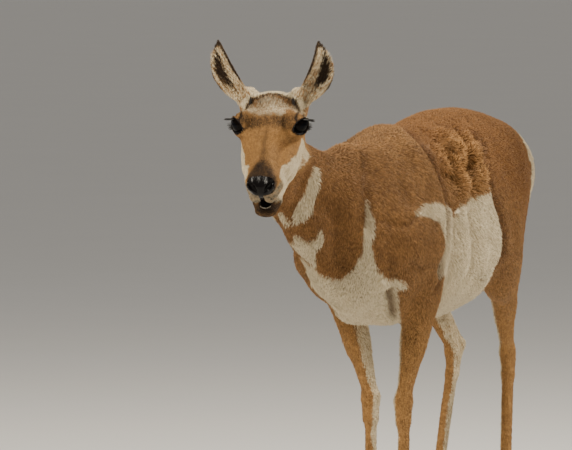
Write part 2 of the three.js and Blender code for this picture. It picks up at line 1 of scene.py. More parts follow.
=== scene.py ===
import math
import bmesh
import bpy
import numpy as np
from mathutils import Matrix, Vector


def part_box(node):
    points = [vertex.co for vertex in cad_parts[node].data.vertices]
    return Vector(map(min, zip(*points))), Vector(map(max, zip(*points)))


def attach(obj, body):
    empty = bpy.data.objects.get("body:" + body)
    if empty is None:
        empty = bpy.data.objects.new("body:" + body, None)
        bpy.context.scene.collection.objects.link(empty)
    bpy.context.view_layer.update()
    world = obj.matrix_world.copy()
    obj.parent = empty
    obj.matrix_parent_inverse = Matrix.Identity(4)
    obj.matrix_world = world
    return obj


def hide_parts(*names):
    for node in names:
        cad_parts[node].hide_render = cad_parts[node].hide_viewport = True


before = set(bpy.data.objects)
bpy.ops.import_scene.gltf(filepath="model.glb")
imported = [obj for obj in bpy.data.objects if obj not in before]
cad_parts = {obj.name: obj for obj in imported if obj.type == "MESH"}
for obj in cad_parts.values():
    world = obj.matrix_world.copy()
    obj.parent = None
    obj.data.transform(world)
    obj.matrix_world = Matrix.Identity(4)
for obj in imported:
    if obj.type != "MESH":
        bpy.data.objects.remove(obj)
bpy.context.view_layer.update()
mm = 0.001

# A doe pronghorn. Her form is worked out in millimetres, +X her left and -Y ahead,
# and is moved at the end so that her eyes lie where the CAD's are.

head = {
    "place": (-81.0, -545.0, 868.0),  # between the eyes
    "turn": 13.5,  # degrees to her left
    "dip": 40.0,  # degrees nose down
    "step": 1.75,  # size of the cells her head's skin is cut from
    "coat": 1.4,  # depth of the fur
    "block": ((-132, -188, -205), (132, 166, 112)),  # corners of the block that it is cut from
}
eye = {
    "place": (53.0, 4.0, 8.0),
    "radius": 17.8,
    "gaze": (0.62, -0.68, 0.38),
    "slit": (0.1, -0.2, 1.0),  # an upright that the slit lies across
    "slitWide": 54.0,  # half angles of the opening, along the slit and across it
    "slitHigh": 46.0,
    "upperLid": 0.8,  # how far the upper lid opens, against the lower one
    "lid": 2.2,  # thickness of the lids
    "rim": 1.32,  # how far out the thick rim reaches, against the opening
    "socket": 2.2,  # how far under the eyeball's surface the skin is cut away
    "lashes": (30, 12),  # on the upper lid and the lower one
    "lashLong": (16.0, 9.0),
}
ear = {
    "root": (46.0, 64.0, 6.0),
    "axis": (0.38, 0.62, 0.69),
    "facing": (0.34, -0.725, 0.489),
    "middle": (64, 104, 48),
    "long": 122.0,
    "halfWide": 24.0,
    "rootWide": 0.15,  # where on its rounded outline the ear starts
    "curl": 1.25,  # how far its edges curl in at the root, in radians
    "uncurl": 0.75,  # how much less they do at the tip
    "hollow": 0.62,  # depth of its hollow against its half width
    "bow": 20.0,  # how far it bows outwards half way up
    "sway": -12.0,  # how far both tips lean, towards her right
    "wall": 3.8,
    "combed": 0.54,  # how far the hair inside is combed towards the edges
}
trunk = {
    "coat": 4.5,
    "step": 6.5,
    "endCap": 50.0,
    "front": -420,  # the barrel's shape is worked out only behind this and above the next
    "under": 440,
    "block": ((-175, -560, 2), (175, 440, 905)),  # corners of the block that her body is cut from
    "columns": ("y", "top", "bottom", "halfWide", "widest"),  # widest is how high, as a share
    "stations": (
        (-345, 758, 514, 82, 0.45),
        (-300, 808, 498, 96, 0.44),
        (-235, 842, 490, 106, 0.43),
        (-150, 850, 487, 118, 0.42),
        (-60, 864, 486, 130, 0.40),
        (30, 879, 489, 138, 0.40),
        (110, 883, 507, 135, 0.44),
        (180, 879, 546, 122, 0.50),
        (245, 868, 600, 106, 0.55),
        (310, 845, 650, 90, 0.60),
        (350, 817, 690, 72, 0.60),
    ),
}
tail = {"root": (0, 382, 800), "tip": (0, 420, 712), "coat": 5.0, "brown": (34, 26)}
# elbow or stifle, knee or hock, fetlock, tip of the toe on the ground
stance = {
    "foreLeft": ((80, -200, 545), (50, -222, 333), (48, -218, 116), (50, -280, 0)),
    "foreRight": ((-78, -190, 545), (-32, -182, 333), (-38, -172, 116), (-40, -234, 0)),
    "hindLeft": ((90, 150, 590), (58, 288, 388), (62, 262, 118), (64, 200, 0)),
    "hindRight": ((-90, 144, 590), (-50, 276, 388), (-66, 222, 118), (-68, 160, 0)),
}
legCoat = {"forearm": 3.0, "gaskin": 4.0, "shin": 2.0}


def unit(v):
    v = np.asarray(v, float)
    return v / np.linalg.norm(v)


def plus(p, x, y, z):
    return (p[0] + x, p[1] + y, p[2] + z)


def between(p, q, t):
    return tuple(a + (b - a) * t for a, b in zip(p, q))


def onSide(side, place):  # a place of her left half, on her left (1) or her right (-1)
    return (side * place[0], place[1], place[2])


def smooth(low, high, value):  # 0 at low and 1 at high, eased between; low may be the greater one
    t = np.clip((value - low) / (high - low), 0, 1)
    return t * t * (3 - 2 * t)


def smoothMin(a, b, k):  # the lesser of two distances, melted together over k
    h = np.maximum(k - np.abs(a - b), 0.0) / k
    return np.minimum(a, b) - h * h * k * 0.25


def headAxes():
    turn, dip = math.radians(head["turn"]), math.radians(head["dip"])
    left = np.array([math.cos(turn), math.sin(turn), 0.0])
    back = np.array([-math.sin(turn) * math.cos(dip), math.cos(turn) * math.cos(dip), math.sin(dip)])
    return np.array([left, back, np.cross(left, back)])


bodyFrame = (np.eye(3), np.zeros(3))
headFrame = (headAxes(), np.array(head["place"]))


def fromHead(points):
    return np.asarray(points, float) @ headFrame[0] + headFrame[1]


def toHead(points):
    return (np.asarray(points, float) - headFrame[1]) @ headFrame[0].T


# Her masses: start, end, start radius, end radius, how wide sideways, how far it melts into its neighbours.


def bothSides(masses):
    flipped = [(onSide(-1, start), onSide(-1, end), *rest)
               for start, end, *rest in masses if start[0] or end[0]]
    return list(masses) + flipped


def under(coat, masses):  # the same masses without the depth of their coat
    return [(start, end, startRadius - coat, endRadius - coat, *rest)
            for start, end, startRadius, endRadius, *rest in masses]


trunkMasses = under(trunk["coat"], bothSides([
    ((30, -318, 606), (38, -262, 540), 50, 44, 0.9, 30),  # breast
    ((38, 262, 786), (44, 326, 736), 47, 48, 0.9, 30),  # rump
    ((22, 346, 786), (24, 362, 724), 34, 34, 1.0, 24),  # seat
]))
neckMasses = under(trunk["coat"] - 1, [
    ((0, -215, 715), (-14, -320, 706), 118, 88, 0.68, 44),
    ((-8, -310, 716), (-76, -460, 790), 76, 50, 0.78, 30),
    ((0, -195, 800), (-22, -335, 790), 44, 38, 0.8, 26),  # crest
    ((-22, -335, 790), (-50, -402, 764), 38, 34, 0.85, 26),
    ((-52, -402, 766), (-92, -500, 852), 36, 34, 0.95, 24),  # nape
    ((-16, -350, 645), (-86, -495, 752), 46, 34, 0.8, 30),  # throat
    ((-86, -492, 742), (-54, -431, 674), 34, 40, 0.82, 24),  # its full lower edge
    ((-54, -431, 674), (-28, -385, 588), 40, 42, 0.9, 26),
])
headMasses = under(head["coat"], bothSides([
    ((0, 54, -8), (0, 20, -8), 39, 38, 1.06, 14),  # brain case
    ((0, 36, 0), (0, -18, -4), 33, 31, 1.45, 14),  # forehead
    ((49, 8, 7), (50, -2, 5), 22, 21, 0.9, 12),  # eye socket
    ((36, 18, 16), (47, -6, 16), 13, 11, 1.0, 8),  # brow
    ((0, -10, -8), (0, -116, -15), 32, 22, 0.9, 14),  # bridge of the nose
    ((42, -6, -22), (33, -72, -28), 17, 14, 0.8, 12),  # cheekbone
    ((33, 30, -50), (31, -36, -54), 35, 30, 0.62, 14),  # jaw muscle
    ((23, -40, -40), (19, -104, -35), 28, 21, 0.85, 14),  # side of the face
    ((0, 20, -66), (0, -106, -77), 27, 14, 0.95, 14),  # lower jaw
    ((31, -16, -70), (16, -104, -78), 17, 11, 0.85, 12),  # its two sides
    ((0, -110, -19), (0, -130, -21), 26, 24, 1.1, 12),  # muzzle
    ((15, -126, -7), (16.5, -139, -11), 13, 12, 0.95, 7),  # wing of the nostril
    ((15, -122, -39), (13, -134, -43), 15.5, 13, 1.05, 7),  # upper lip
    ((0, -106, -82), (0, -129, -85), 15, 12, 1.9, 8),  # chin
    ((0, 52, -50), (0, 30, -66), 36, 28, 0.8, 20),  # throat latch
]))
earBases = bothSides([
    ((42, 54, -8), (50, 72, 13), 19, 16, 1.0, 14),
    ((30, 54, 3), (46, 70, 17), 12, 8, 1.0, 18),  # its inner corner, running into the crown
])


def footMasses(fetlock, toe):  # from the fetlock down to the hoof
    return [
        (plus(fetlock, 0, 2, 8), plus(fetlock, 0, 6, -6), 17, 16.5, 0.92, 10),
        (fetlock, plus(toe, 0, 38, 46), 14, 17, 1.12, 8),
        (plus(toe, 0, 40, 38), plus(toe, 0, 48, 26), 17, 13, 1.35, 8),
    ]


def forelegMasses(side, joints):
    elbow, knee, fetlock, toe = joints
    shinTop = between(knee, fetlock, 0.12)
    ahead = 12 if side < 0 else 0  # her right shoulder is the further one forward
    pointTop = (side * (80 + ahead), -285 - ahead, 640 - 1.5 * ahead)
    pointFoot = (side * (72 + ahead), -262 - ahead, 600 - ahead)
    return under(trunk["coat"], [
        ((side * 64, -185, 770), (side * 88, -266, 666), 56, 71, 0.56, 30),  # shoulder blade
        (pointTop, pointFoot, 56, 49, 0.75, 28),  # point of the shoulder
        ((side * 82, -172, 700), (side * 88, -200, 590), 54, 47, 0.64, 26),  # triceps
    ]) + under(legCoat["forearm"], [
        (elbow, plus(knee, 0, 0, 24), 43, 19, 0.72, 22),
        (plus(elbow, 0, -12, -12), plus(between(elbow, knee, 0.45), 0, -6, 0), 34, 24, 0.75, 18),
    ]) + under(legCoat["shin"], [
        (plus(knee, 0, 0, 14), plus(knee, 0, 0, -16), 20, 18, 0.92, 16),
        (shinTop, plus(fetlock, 0, 2, 10), 13.5, 13, 0.88, 12),
        (plus(shinTop, 0, 9, 0), plus(fetlock, 0, 10, 12), 9, 9, 0.85, 8),  # tendon behind it
    ] + footMasses(fetlock, toe))


def hindlegMasses(side, joints):
    stifle, hock, fetlock, toe = joints
    heel = plus(hock, -side * 7, 24, 30)
    shankTop = between(hock, fetlock, 0.1)
    return under(trunk["coat"], [
        ((side * 66, 205, 752), (side * 90, 152, 615), 92, 62, 0.58, 34),  # thigh
        ((side * 52, 290, 745), (side * 72, 238, 585), 70, 48, 0.62, 30),
        (plus(stifle, 0, 5, 25), plus(stifle, 0, 14, -30), 56, 50, 0.62, 26),
    ]) + under(legCoat["gaskin"], [
        (plus(stifle, 0, 16, 0), plus(hock, 0, -4, 30), 50, 21, 0.6, 24),
        (plus(stifle, 0, 60, 0), plus(between(stifle, hock, 0.55), 0, 14, 10), 36, 20, 0.6, 20),
    ]) + under(legCoat["shin"], [
        (plus(between(stifle, hock, 0.5), 0, 34, 18), heel, 12, 10, 0.75, 14),  # heel cord
        (plus(hock, 0, -2, 14), plus(hock, 0, 2, -20), 22, 18, 0.7, 14),
        (heel, plus(hock, 0, 16, 0), 11.5, 12, 0.85, 9),
        (shankTop, plus(fetlock, 0, 0, 10), 14.5, 13, 0.85, 12),
        (plus(shankTop, 0, 11, 0), plus(fetlock, 0, 10, 12), 9, 9, 0.85, 8),  # tendon behind it
    ] + footMasses(fetlock, toe))


legMasses = {}
for name, joints in stance.items():
    makeLeg = forelegMasses if name.startswith("fore") else hindlegMasses
    legMasses[name] = makeLeg(1 if name.endswith("Left") else -1, joints)
tailMiddle = between(tail["root"], tail["tip"], 0.45)
tailMasses = under(tail["coat"], [
    (tail["root"], tailMiddle, 20, 25, 1.15, 10),
    (tailMiddle, tail["tip"], 25, 12, 1.15, 10),
])


def massDistance(p, mass):
    start, end = np.asarray(mass[0], float), np.asarray(mass[1], float)
    startRadius, endRadius, wide = mass[2:5]
    run = end - start
    t = np.clip(sum((p[i] - start[i]) * run[i] for i in range(3)) / max(run @ run, 1e-9), 0, 1)
    radius = startRadius + t * (endRadius - startRadius)
    x, y, z = ((p[i] - start[i] - t * run[i]) for i in range(3))
    x = x / wide
    reach = np.sqrt(x * x + y * y + z * z)
    pull = np.sqrt((x / wide) ** 2 + y * y + z * z) + 1e-6
    return (reach - radius) * reach / pull


def groupDistance(points, masses):
    p = points.T
    distance = np.full(len(points), 1e3)
    for mass in masses:
        distance = smoothMin(distance, massDistance(p, mass), mass[5])
    return distance


def atStation(y, column):  # a curve through the trunk's stations
    stations = np.array(trunk["stations"], float)
    places, values = stations[:, 0], stations[:, trunk["columns"].index(column)]
    slope = np.gradient(values, places)
    y = np.clip(y, places[0], places[-1])
    i = np.clip(np.searchsorted(places, y) - 1, 0, len(places) - 2)
    h = places[i + 1] - places[i]
    t = (y - places[i]) / h
    u = 1 - t
    return ((1 + 2 * t) * u * u * values[i] + t * u * u * h * slope[i]
            + t * t * (3 - 2 * t) * values[i + 1] - t * t * u * h * slope[i + 1])


def trunkMiddle(y):
    bottom = atStation(y, "bottom")
    return bottom + atStation(y, "widest") * (atStation(y, "top") - bottom)


def trunkDistance(x, y, z):
    coat, cap = trunk["coat"], trunk["endCap"]
    wide, middle = atStation(y, "halfWide") - coat, trunkMiddle(y)
    high = np.where(z > middle, atStation(y, "top") - middle, middle - atStation(y, "bottom")) - coat
    first, last = trunk["stations"][0][0], trunk["stations"][-1][0]
    beyond = (np.minimum(y - first, 0) + np.maximum(y - last, 0)) / (cap - coat)
    sx, sz = x / wide, (z - middle) / high
    reach = np.sqrt(sx * sx + sz * sz + beyond * beyond)
    pull = np.sqrt((sx / wide) ** 2 + (sz / high) ** 2 + (beyond / cap) ** 2) + 1e-9
    return reach * (reach - 1) / pull


# The skin is cut out of blocks of cells, a fine one for the head and ears and a coarse one for the rest.
farOutside = 90.0


class Block:
    def __init__(self, low, high, step, axes):
        self.low, self.step, self.axes = np.array(low, float), step, axes
        self.count = np.ceil((np.array(high, float) - self.low) / step).astype(int) + 1
        self.field = np.full(self.count, farOutside, np.float32)

    def part(self, corners, margin):  # the cells within a margin of the corners
        local = (np.atleast_2d(corners) - self.axes[1]) @ self.axes[0].T
        low = np.floor((local.min(0) - margin - self.low) / self.step).astype(int)
        high = np.ceil((local.max(0) + margin - self.low) / self.step).astype(int) + 1
        low, high = np.clip(low, 0, self.count), np.clip(high, 0, self.count)
        return None if (high <= low).any() else tuple(slice(a, b) for a, b in zip(low, high))

    def places(self, part, axes):  # where those cells are, in the body's frame or the head's
        turn = axes[0] @ self.axes[0].T
        move = axes[0] @ (self.axes[1] - axes[1])
        a, b, c = (self.low[i] + self.step * np.arange(part[i].start, part[i].stop) for i in range(3))
        a, b, c = a[:, None, None], b[None, :, None], c[None, None, :]
        return [turn[r, 0] * a + turn[r, 1] * b + turn[r, 2] * c + move[r] for r in range(3)]

    def addMass(self, mass, axes):
        start, end, startRadius, endRadius, wide, melt = mass
        ends = np.array([start, end], float) @ axes[0] + axes[1]
        part = self.part(ends, max(startRadius, endRadius) * max(1, wide) + melt + 2 * self.step)
        if part:
            distance = massDistance(self.places(part, axes), mass)
            self.field[part] = smoothMin(self.field[part], distance.astype(np.float32), melt)

    def blend(self, centre, reach, shape, soft, cut=False):  # adds or cuts a shape in the head's frame
        part = self.part(fromHead(centre), reach)
        if part:
            distance = shape(*self.places(part, headFrame)).astype(np.float32)
            here = self.field[part]
            self.field[part] = -smoothMin(-here, distance, soft) if cut else smoothMin(here, distance, soft)


def earPlace(x, y, z, side):  # how far up the ear (0 to 1), across it and out of its hollow a place is
    along = unit(ear["axis"])
    facing = np.array(ear["facing"]) - (np.array(ear["facing"]) @ along) * along
    facing = facing / np.linalg.norm(facing)
    across = np.cross(along, facing)
    root = np.array(ear["root"])
    up = [v - r for v, r in zip((side * x, y, z), root)]
    u = (up[0] * along[0] + up[1] * along[1] + up[2] * along[2]) / ear["long"]
    for _ in range(2):  # how far up depends on the bow, which depends on how far up
        t = np.clip(u, 0, 1)
        bowed = side * (x - ear["sway"] * t * t) - 4 * ear["bow"] * t * (1 - t) - root[0]
        u = (bowed * along[0] + up[1] * along[1] + up[2] * along[2]) / ear["long"]
    s = bowed * across[0] + up[1] * across[1] + up[2] * across[2]
    f = bowed * facing[0] + up[1] * facing[1] + up[2] * facing[2]
    return u, s, f


def earSection(u, s):  # half width, the hollow's depth and its slope
    start, t = ear["rootWide"], np.clip(u, 0, 1)
    wide = ear["halfWide"] * np.maximum(np.sin(np.pi * (start + (1 - start) * t)), 1e-3) ** 0.8
    bend = np.sin(ear["curl"] - ear["uncurl"] * t)
    angle = np.arcsin(np.clip(s / wide * bend, -0.99, 0.99))
    return wide, wide * ear["hollow"] * (1 - np.cos(angle)), ear["hollow"] * np.tan(angle) * bend


def earSheet(side):
    def shape(x, y, z):
        u, s, f = earPlace(x, y, z, side)
        wide, middle, lean = earSection(u, s)
        thick = ear["wall"] / 2 * (1 - 0.15 * np.clip(u, 0, 1))  # a little thinner at the tip
        wall = np.abs(f - middle) / np.sqrt(1 + lean * lean) - thick
        rim = (np.abs(s) - wide) * 0.9
        ends = np.maximum(u - 1, -0.12 - u) * ear["long"]
        edge = np.maximum(rim, ends)
        return np.where((edge > 0) & (wall > 0), np.hypot(edge, wall), np.maximum(edge, wall))
    return shape


def eyeAxes(side):  # the gaze, the slit and the way over it
    gaze = unit(onSide(side, eye["gaze"]))
    slit = unit(np.cross(onSide(side, eye["slit"]), gaze))
    return gaze, slit, np.cross(gaze, slit)


def eyePlace(x, y, z, side):  # how far from the eye's middle, and the angles along and across the slit
    p = [side * x - eye["place"][0], y - eye["place"][1], z - eye["place"][2]]
    g, s, o = (p[0] * v[0] + p[1] * v[1] + p[2] * v[2] for v in eyeAxes(1))
    far = np.sqrt(g * g + s * s + o * o)
    return far, np.degrees(np.arctan2(s, g)), np.degrees(np.arctan2(o, g))


def lidOpening(far, along, across, grow=1.0):
    wide, high = eye["slitWide"] * grow, eye["slitHigh"] * grow
    upper = smooth(-6, 6, across)  # the upper lid is lower and straighter than the lower one
    high = high * (1 - (1 - eye["upperLid"]) * upper)
    a, b = np.abs(along / wide), np.abs(across / high)
    power = 2 + 0.8 * upper
    q = (a ** power + b ** power) ** (1 / power)
    return (q - 1) * np.radians(high) * np.maximum(far, 1)


def lidRim(side):
    def shape(x, y, z):
        far, along, across = eyePlace(x, y, z, side)
        heavy = 1 + 0.35 * np.clip(across / 40, -1, 1)  # the upper lid is thicker
        outside = far - eye["radius"] - eye["lid"] * heavy
        return np.maximum(outside, lidOpening(far, along, across, eye["rim"]))
    return shape


def lidCut(side):
    def shape(x, y, z):
        far, along, across = eyePlace(x, y, z, side)
        return np.maximum(lidOpening(far, along, across), eye["radius"] - eye["socket"] - far)
    return shape


mouth = {"place": (0, -138, -65), "half": (29.0, 30.0, 7.8), "droop": -0.004}


def mouthSlot(x, y, z):
    a, b, c = mouth["half"]
    y = y - mouth["place"][1]
    z = z + mouth["droop"] * x * x - mouth["place"][2]
    q = np.sqrt((x / a) ** 2 + (y / b) ** 2 + (z / c) ** 2)
    pull = np.sqrt((x / a ** 2) ** 2 + (y / b ** 2) ** 2 + (z / c ** 2) ** 2) + 1e-6
    return q * (q - 1) / pull


# bars cut out of the head: start, end, their radii, the middle and reach of the cut, how soft its edge is
sideCuts = [
    ((8, -150, -16), (15, -146, -9), 2.2, 4.4, (8, -150, -16), 20, 3),  # nostril
    ((15, -146, -9), (22, -139, -3), 4.4, 3.4, (15, -146, -9), 20, 3),
    ((22, -139, -3), (27, -132, 0), 3.2, 1.4, (22, -139, -3), 20, 3),
    ((60, 61, 14), (70, 68, 32), 4, 9, (65, 65, 23), 28, 7),  # opening of the ear
]
noseGroove = ((0, -157, -30), (0, -150, -54), 1.4, 1.9, (0, -154, -40), 22, 4)


def cutBar(block, side, start, end, startRadius, endRadius, centre, reach, soft):
    bar = (onSide(side, start), onSide(side, end), startRadius, endRadius, 1.0)
    block.blend(onSide(side, centre), reach, lambda x, y, z: massDistance((x, y, z), bar), soft, cut=True)


def headDetails(block):
    for side in (1, -1):
        block.blend(onSide(side, eye["place"]), 34, lidRim(side), 5)
        block.blend(onSide(side, eye["place"]), 44, lidCut(side), 1.6, cut=True)
        block.blend(onSide(side, ear["middle"]), 90, earSheet(side), 8)
        for bar in sideCuts:
            cutBar(block, side, *bar)
    cutBar(block, 1, *noseGroove)
    block.blend(mouth["place"], 40, mouthSlot, 2.5, cut=True)


def fillBlock(block):
    x, y, z = np.broadcast_arrays(*block.places(tuple(slice(0, n) for n in block.count), bodyFrame))
    near = (y > trunk["front"]) & (z > trunk["under"])
    block.field[near] = np.minimum(block.field[near], trunkDistance(x[near], y[near], z[near]))
    for masses in (trunkMasses, *legMasses.values(), tailMasses, neckMasses):
        for mass in masses:
            block.addMass(mass, bodyFrame)
    for mass in headMasses + earBases:
        block.addMass(mass, headFrame)


def surfaceOf(block):  # one point in each cell that the surface crosses, and the faces between them
    inside = block.field < 0
    count = np.array(inside.shape)
    corners = [(i, j, k) for i in (0, 1) for j in (0, 1) for k in (0, 1)]
    filled = sum(inside[i:count[0] - 1 + i, j:count[1] - 1 + j, k:count[2] - 1 + k].astype(np.int8)
                 for i, j, k in corners)
    cells = np.argwhere((filled > 0) & (filled < 8))
    values = np.stack([block.field[cells[:, 0] + i, cells[:, 1] + j, cells[:, 2] + k]
                       for i, j, k in corners], 1).astype(float)
    total, hits = np.zeros((len(cells), 3)), np.zeros(len(cells))
    for a in range(8):
        for b in range(a + 1, 8):
            step = np.array(corners[b]) - np.array(corners[a])
            if np.abs(step).sum() != 1:
                continue
            crossed = (values[:, a] < 0) != (values[:, b] < 0)
            t = np.where(crossed, values[:, a] / np.where(crossed, values[:, a] - values[:, b], 1), 0)
            total += np.where(crossed[:, None], np.array(corners[a]) + t[:, None] * step, 0)
            hits += crossed
    points = block.low + block.step * (cells + total / hits[:, None])
    index = np.full(count - 1, -1, np.int64)
    index[tuple(cells.T)] = np.arange(len(cells))
    quads = []
    for axis in range(3):
        u, v = (axis + 1) % 3, (axis + 2) % 3
        low = tuple(slice(0, count[a] - 1) if a == axis else slice(None) for a in range(3))
        high = tuple(slice(1, count[a]) if a == axis else slice(None) for a in range(3))
        edges = np.argwhere(inside[low] != inside[high])
        edges = edges[(edges[:, u] > 0) & (edges[:, v] > 0) & (edges[:, u] < count[u] - 1)
                      & (edges[:, v] < count[v] - 1)]
        leaving = inside[low][tuple(edges.T)]
        du, dv = np.eye(3, dtype=int)[u], np.eye(3, dtype=int)[v]
        quad = np.stack([index[tuple((edges - du - dv).T)], index[tuple((edges - dv).T)],
                         index[tuple(edges.T)], index[tuple((edges - du).T)]], 1)
        quad[~leaving] = quad[~leaving][:, ::-1]
        quads.append(quad)
    return points @ block.axes[0] + block.axes[1], np.concatenate(quads)


# the head's part of the skin and the body's are cut across the neck and joined there
neckCut = {
    "point": (-66, -445, 792),
    "normal": (-0.34, -0.78, 0.52),
    "apart": 3.0,
    "reach": 110,
    "furTurns": (8, 20),  # how far ahead of it the coat turns from the body's to the head's
}


def aheadOfCut(points):
    return (points - neckCut["point"]) @ unit(neckCut["normal"])


def cutShell(points, quads, keepAhead):  # the surface ahead of the cut across the neck, or behind it
    normal = unit(neckCut["normal"])
    place = np.array(neckCut["point"]) + (0 if keepAhead else -neckCut["apart"]) * normal
    side = (points - place) @ normal * (1 if keepAhead else -1)
    quads = quads[(side[quads] > -3 * trunk["step"]).all(1)]
    used, quads = np.unique(quads, return_inverse=True)
    shell = bmesh.new()
    made = [shell.verts.new(p) for p in points[used]]
    for quad in quads.reshape(-1, 4):
        shell.faces.new([made[i] for i in quad])
    everything = shell.verts[:] + shell.edges[:] + shell.faces[:]
    bmesh.ops.bisect_plane(shell, geom=everything, plane_co=place, plane_no=normal, dist=1e-4,
                           clear_inner=keepAhead, clear_outer=not keepAhead)
    return shell


def largestPiece(shell):  # drops every loose piece but the largest
    remaining = set(shell.verts)
    pieces = []
    while remaining:
        start = remaining.pop()
        found, stack = [start], [start]
        while stack:
            for edge in stack.pop().link_edges:
                for vert in edge.verts:
                    if vert in remaining:
                        remaining.discard(vert)
                        found.append(vert)
                        stack.append(vert)
        pieces.append(found)
    pieces.sort(key=len)
    for piece in pieces[:-1]:
        bmesh.ops.delete(shell, geom=piece, context="VERTS")


def makeSkin():
    body = Block(*trunk["block"], trunk["step"], bodyFrame)
    fillBlock(body)
    face = Block(*head["block"], head["step"], headFrame)
    fillBlock(face)
    headDetails(face)
    shells = [cutShell(*surfaceOf(body), False), cutShell(*surfaceOf(face), True)]
    for shell in shells:
        largestPiece(shell)
    mesh = bpy.data.meshes.new("skin")
    whole = bmesh.new()
    for shell in shells:
        shell.to_mesh(mesh)
        whole.from_mesh(mesh)
        shell.free()
    middle = Vector(neckCut["point"])
    rims = [edge for edge in whole.edges
            if edge.is_boundary and (edge.verts[0].co - middle).length < neckCut["reach"]]
    bmesh.ops.bridge_loops(whole, edges=rims)
    bmesh.ops.triangulate(whole, faces=[face for face in whole.faces if len(face.verts) > 4])
    bmesh.ops.recalc_face_normals(whole, faces=whole.faces)
    notTwoFaced = sum(1 for edge in whole.edges if not edge.is_manifold)
    whole.to_mesh(mesh)
    whole.free()
    print("skin:", len(mesh.vertices), "points,", len(mesh.polygons), "faces,",
          notTwoFaced, "edges without exactly two faces")
    return mesh


skinMesh = makeSkin()


# her markings and the lie and length of her hair are worked out at every point of the skin,
# from a few lines and limits laid on her


def alongLine(points, start, end):  # how far along the line each point is, and how far from it
    start, end = np.asarray(start, float), np.asarray(end, float)
    run = end - start
    t = np.clip((points - start) @ run / (run @ run), 0, 1)
    return t, np.linalg.norm(points - start - t[:, None] * run, axis=1)


def strokes(points, lines, soft):  # 1 on lines that widen from their start to their end
    mask = np.zeros(len(points))
    for start, end, startWide, endWide in lines:
        t, far = alongLine(points, start, end)
        wide = startWide + t * (endWide - startWide)
        mask = np.maximum(mask, 1 - smooth(wide - soft, wide + soft, far))
    return mask


def waves(points, size, seed):  # an even, seeded wavering, mostly between -1 and 1
    draw = np.random.default_rng(seed)
    total = np.zeros(len(points))
    for _ in range(7):
        direction = unit(draw.normal(size=3))
        count = 2 * math.pi / size * draw.uniform(0.7, 1.4)
        total += np.sin(points @ direction * count + draw.uniform(0, 6.28))
    return total / 2.4


def mirrored(points):
    return np.column_stack([np.abs(points[:, 0]), points[:, 1], points[:, 2]])


neckLine = {"base": (0, -215, 715), "bend": (-14, -320, 706), "run": (-62, -140, 84), "long": 174.6}


def inNeck(points):  # the points, with how far sideways they are from the middle of her bent neck
    base, bend, run = (np.array(neckLine[name], float) for name in ("base", "bend", "run"))
    before = np.clip((base[1] - points[:, 1]) / (base[1] - bend[1]), 0, 1)
    beyond = np.clip((points - bend) @ run / neckLine["long"] ** 2, 0, 1.1)
    middle = bend[0] * before + run[0] * beyond
    return mirrored(points - np.outer(middle, (1, 0, 0)))


markings = {
    "neckBands": [
        ((39, -456, 790), (36, -460, 770), 7, 11),
        ((36, -460, 770), (33, -462, 754), 11, 11),
        ((33, -462, 754), (29, -468, 740), 10, 13),
        ((29, -468, 740), (25, -477, 724), 13, 16),
        ((25, -477, 724), (20, -484, 714), 15, 14),
        ((20, -484, 714), (10, -489, 699), 13, 4),
        ((1, -511, 713), (3, -494, 693), 5, 4),
        ((26, -452, 678), (22, -452, 664), 5, 9),
        ((22, -452, 664), (8, -462, 648), 9, 13),
        ((2, -478, 668), (4, -464, 648), 5, 11),
        ((4, -462, 646), (1, -450, 626), 13, 8),
        ((1, -450, 626), (0, -444, 616), 8, 3),
    ],
    "shoulderStripe": [
        ((36, -372, 734), (40, -374, 712), 3, 5),
        ((40, -374, 712), (45, -376, 690), 5, 9),
        ((45, -376, 690), (45, -380, 668), 9, 10),
        ((45, -380, 668), (43.5, -383, 652), 9, 7),
        ((43.5, -383, 652), (45, -382, 628), 7, 11),
        ((45, -382, 628), (44, -382, 604), 11, 19),
    ],
    "behindShoulder": [
        ((109, -302, 706), (112, -264, 711), 4, 13),
        ((112, -264, 711), (118, -226, 700), 13, 22),
        ((118, -226, 700), (128, -222, 668), 20, 18),
        ((128, -222, 668), (130, -226, 644), 16, 8),
        ((118, -222, 616), (112, -206, 594), 16, 13),
    ],
    "armpit": [((62, -366, 582), (86, -312, 577), 8, 7)],
    # on the head: how far up the white of the cheek reaches, against how far along the face
    "cheekAlong": (-146, -132, -117, -84, -58, -39, -15, 8, 20, 30),
    "cheekTop": (-34, -27, -13, -15, -20, -28, -30, -26, -44, -60),
    "rightCheek": 13,  # how much higher it is on her right
    "cheekShade": [((46, 0, -80), (26, -90, -84), 9, 6)],
    "browPatch": [((52, 18, 24), (50, 3, 27), 2.5, 4), ((50, 3, 27), (52, -6, 25), 4, 5)],
    "noseLine": [((1, -22, 26), (-1, -60, 16), 4, 6), ((-1, -60, 16), (0, -92, 9), 6, 12)],
}
# how high the white of the chest reaches across her: lowest under the brown lobe of the neck
chestEdge = {
    "across": (-110, -90, -60, -44, -36, -29, -20, -8, 5, 14, 22, 33, 41, 56, 63, 76, 90, 110),
    "top": (600, 640, 628, 613, 609, 602, 595, 588, 593, 602, 614, 630, 632, 614, 603, 591, 577, 560),
}
chestSide = {"height": (470, 503, 534, 550, 562, 571, 582, 600), "reach": (48, 50, 56, 66, 76, 94, 82, 66)}
rumpPatch = {"centre": (0, 390, 765), "reach": (132, 172, 128), "size": 130, "edge": (125, 137)}
# the white of the flank: where it starts and ends at each height, and how high it reaches along her
flankPatch = {
    "height": (560, 590, 625, 655, 685, 712, 740),
    "front": (-205, -205, -207, -203, -192, -180, -174),
    "back": (34, 36, 62, 57, 38, 22, 14),
    "along": (-180, -147, -131, -97, -65, -10, 15),
    "top": (722, 710, 692, 709, 722, 726, 735),
}

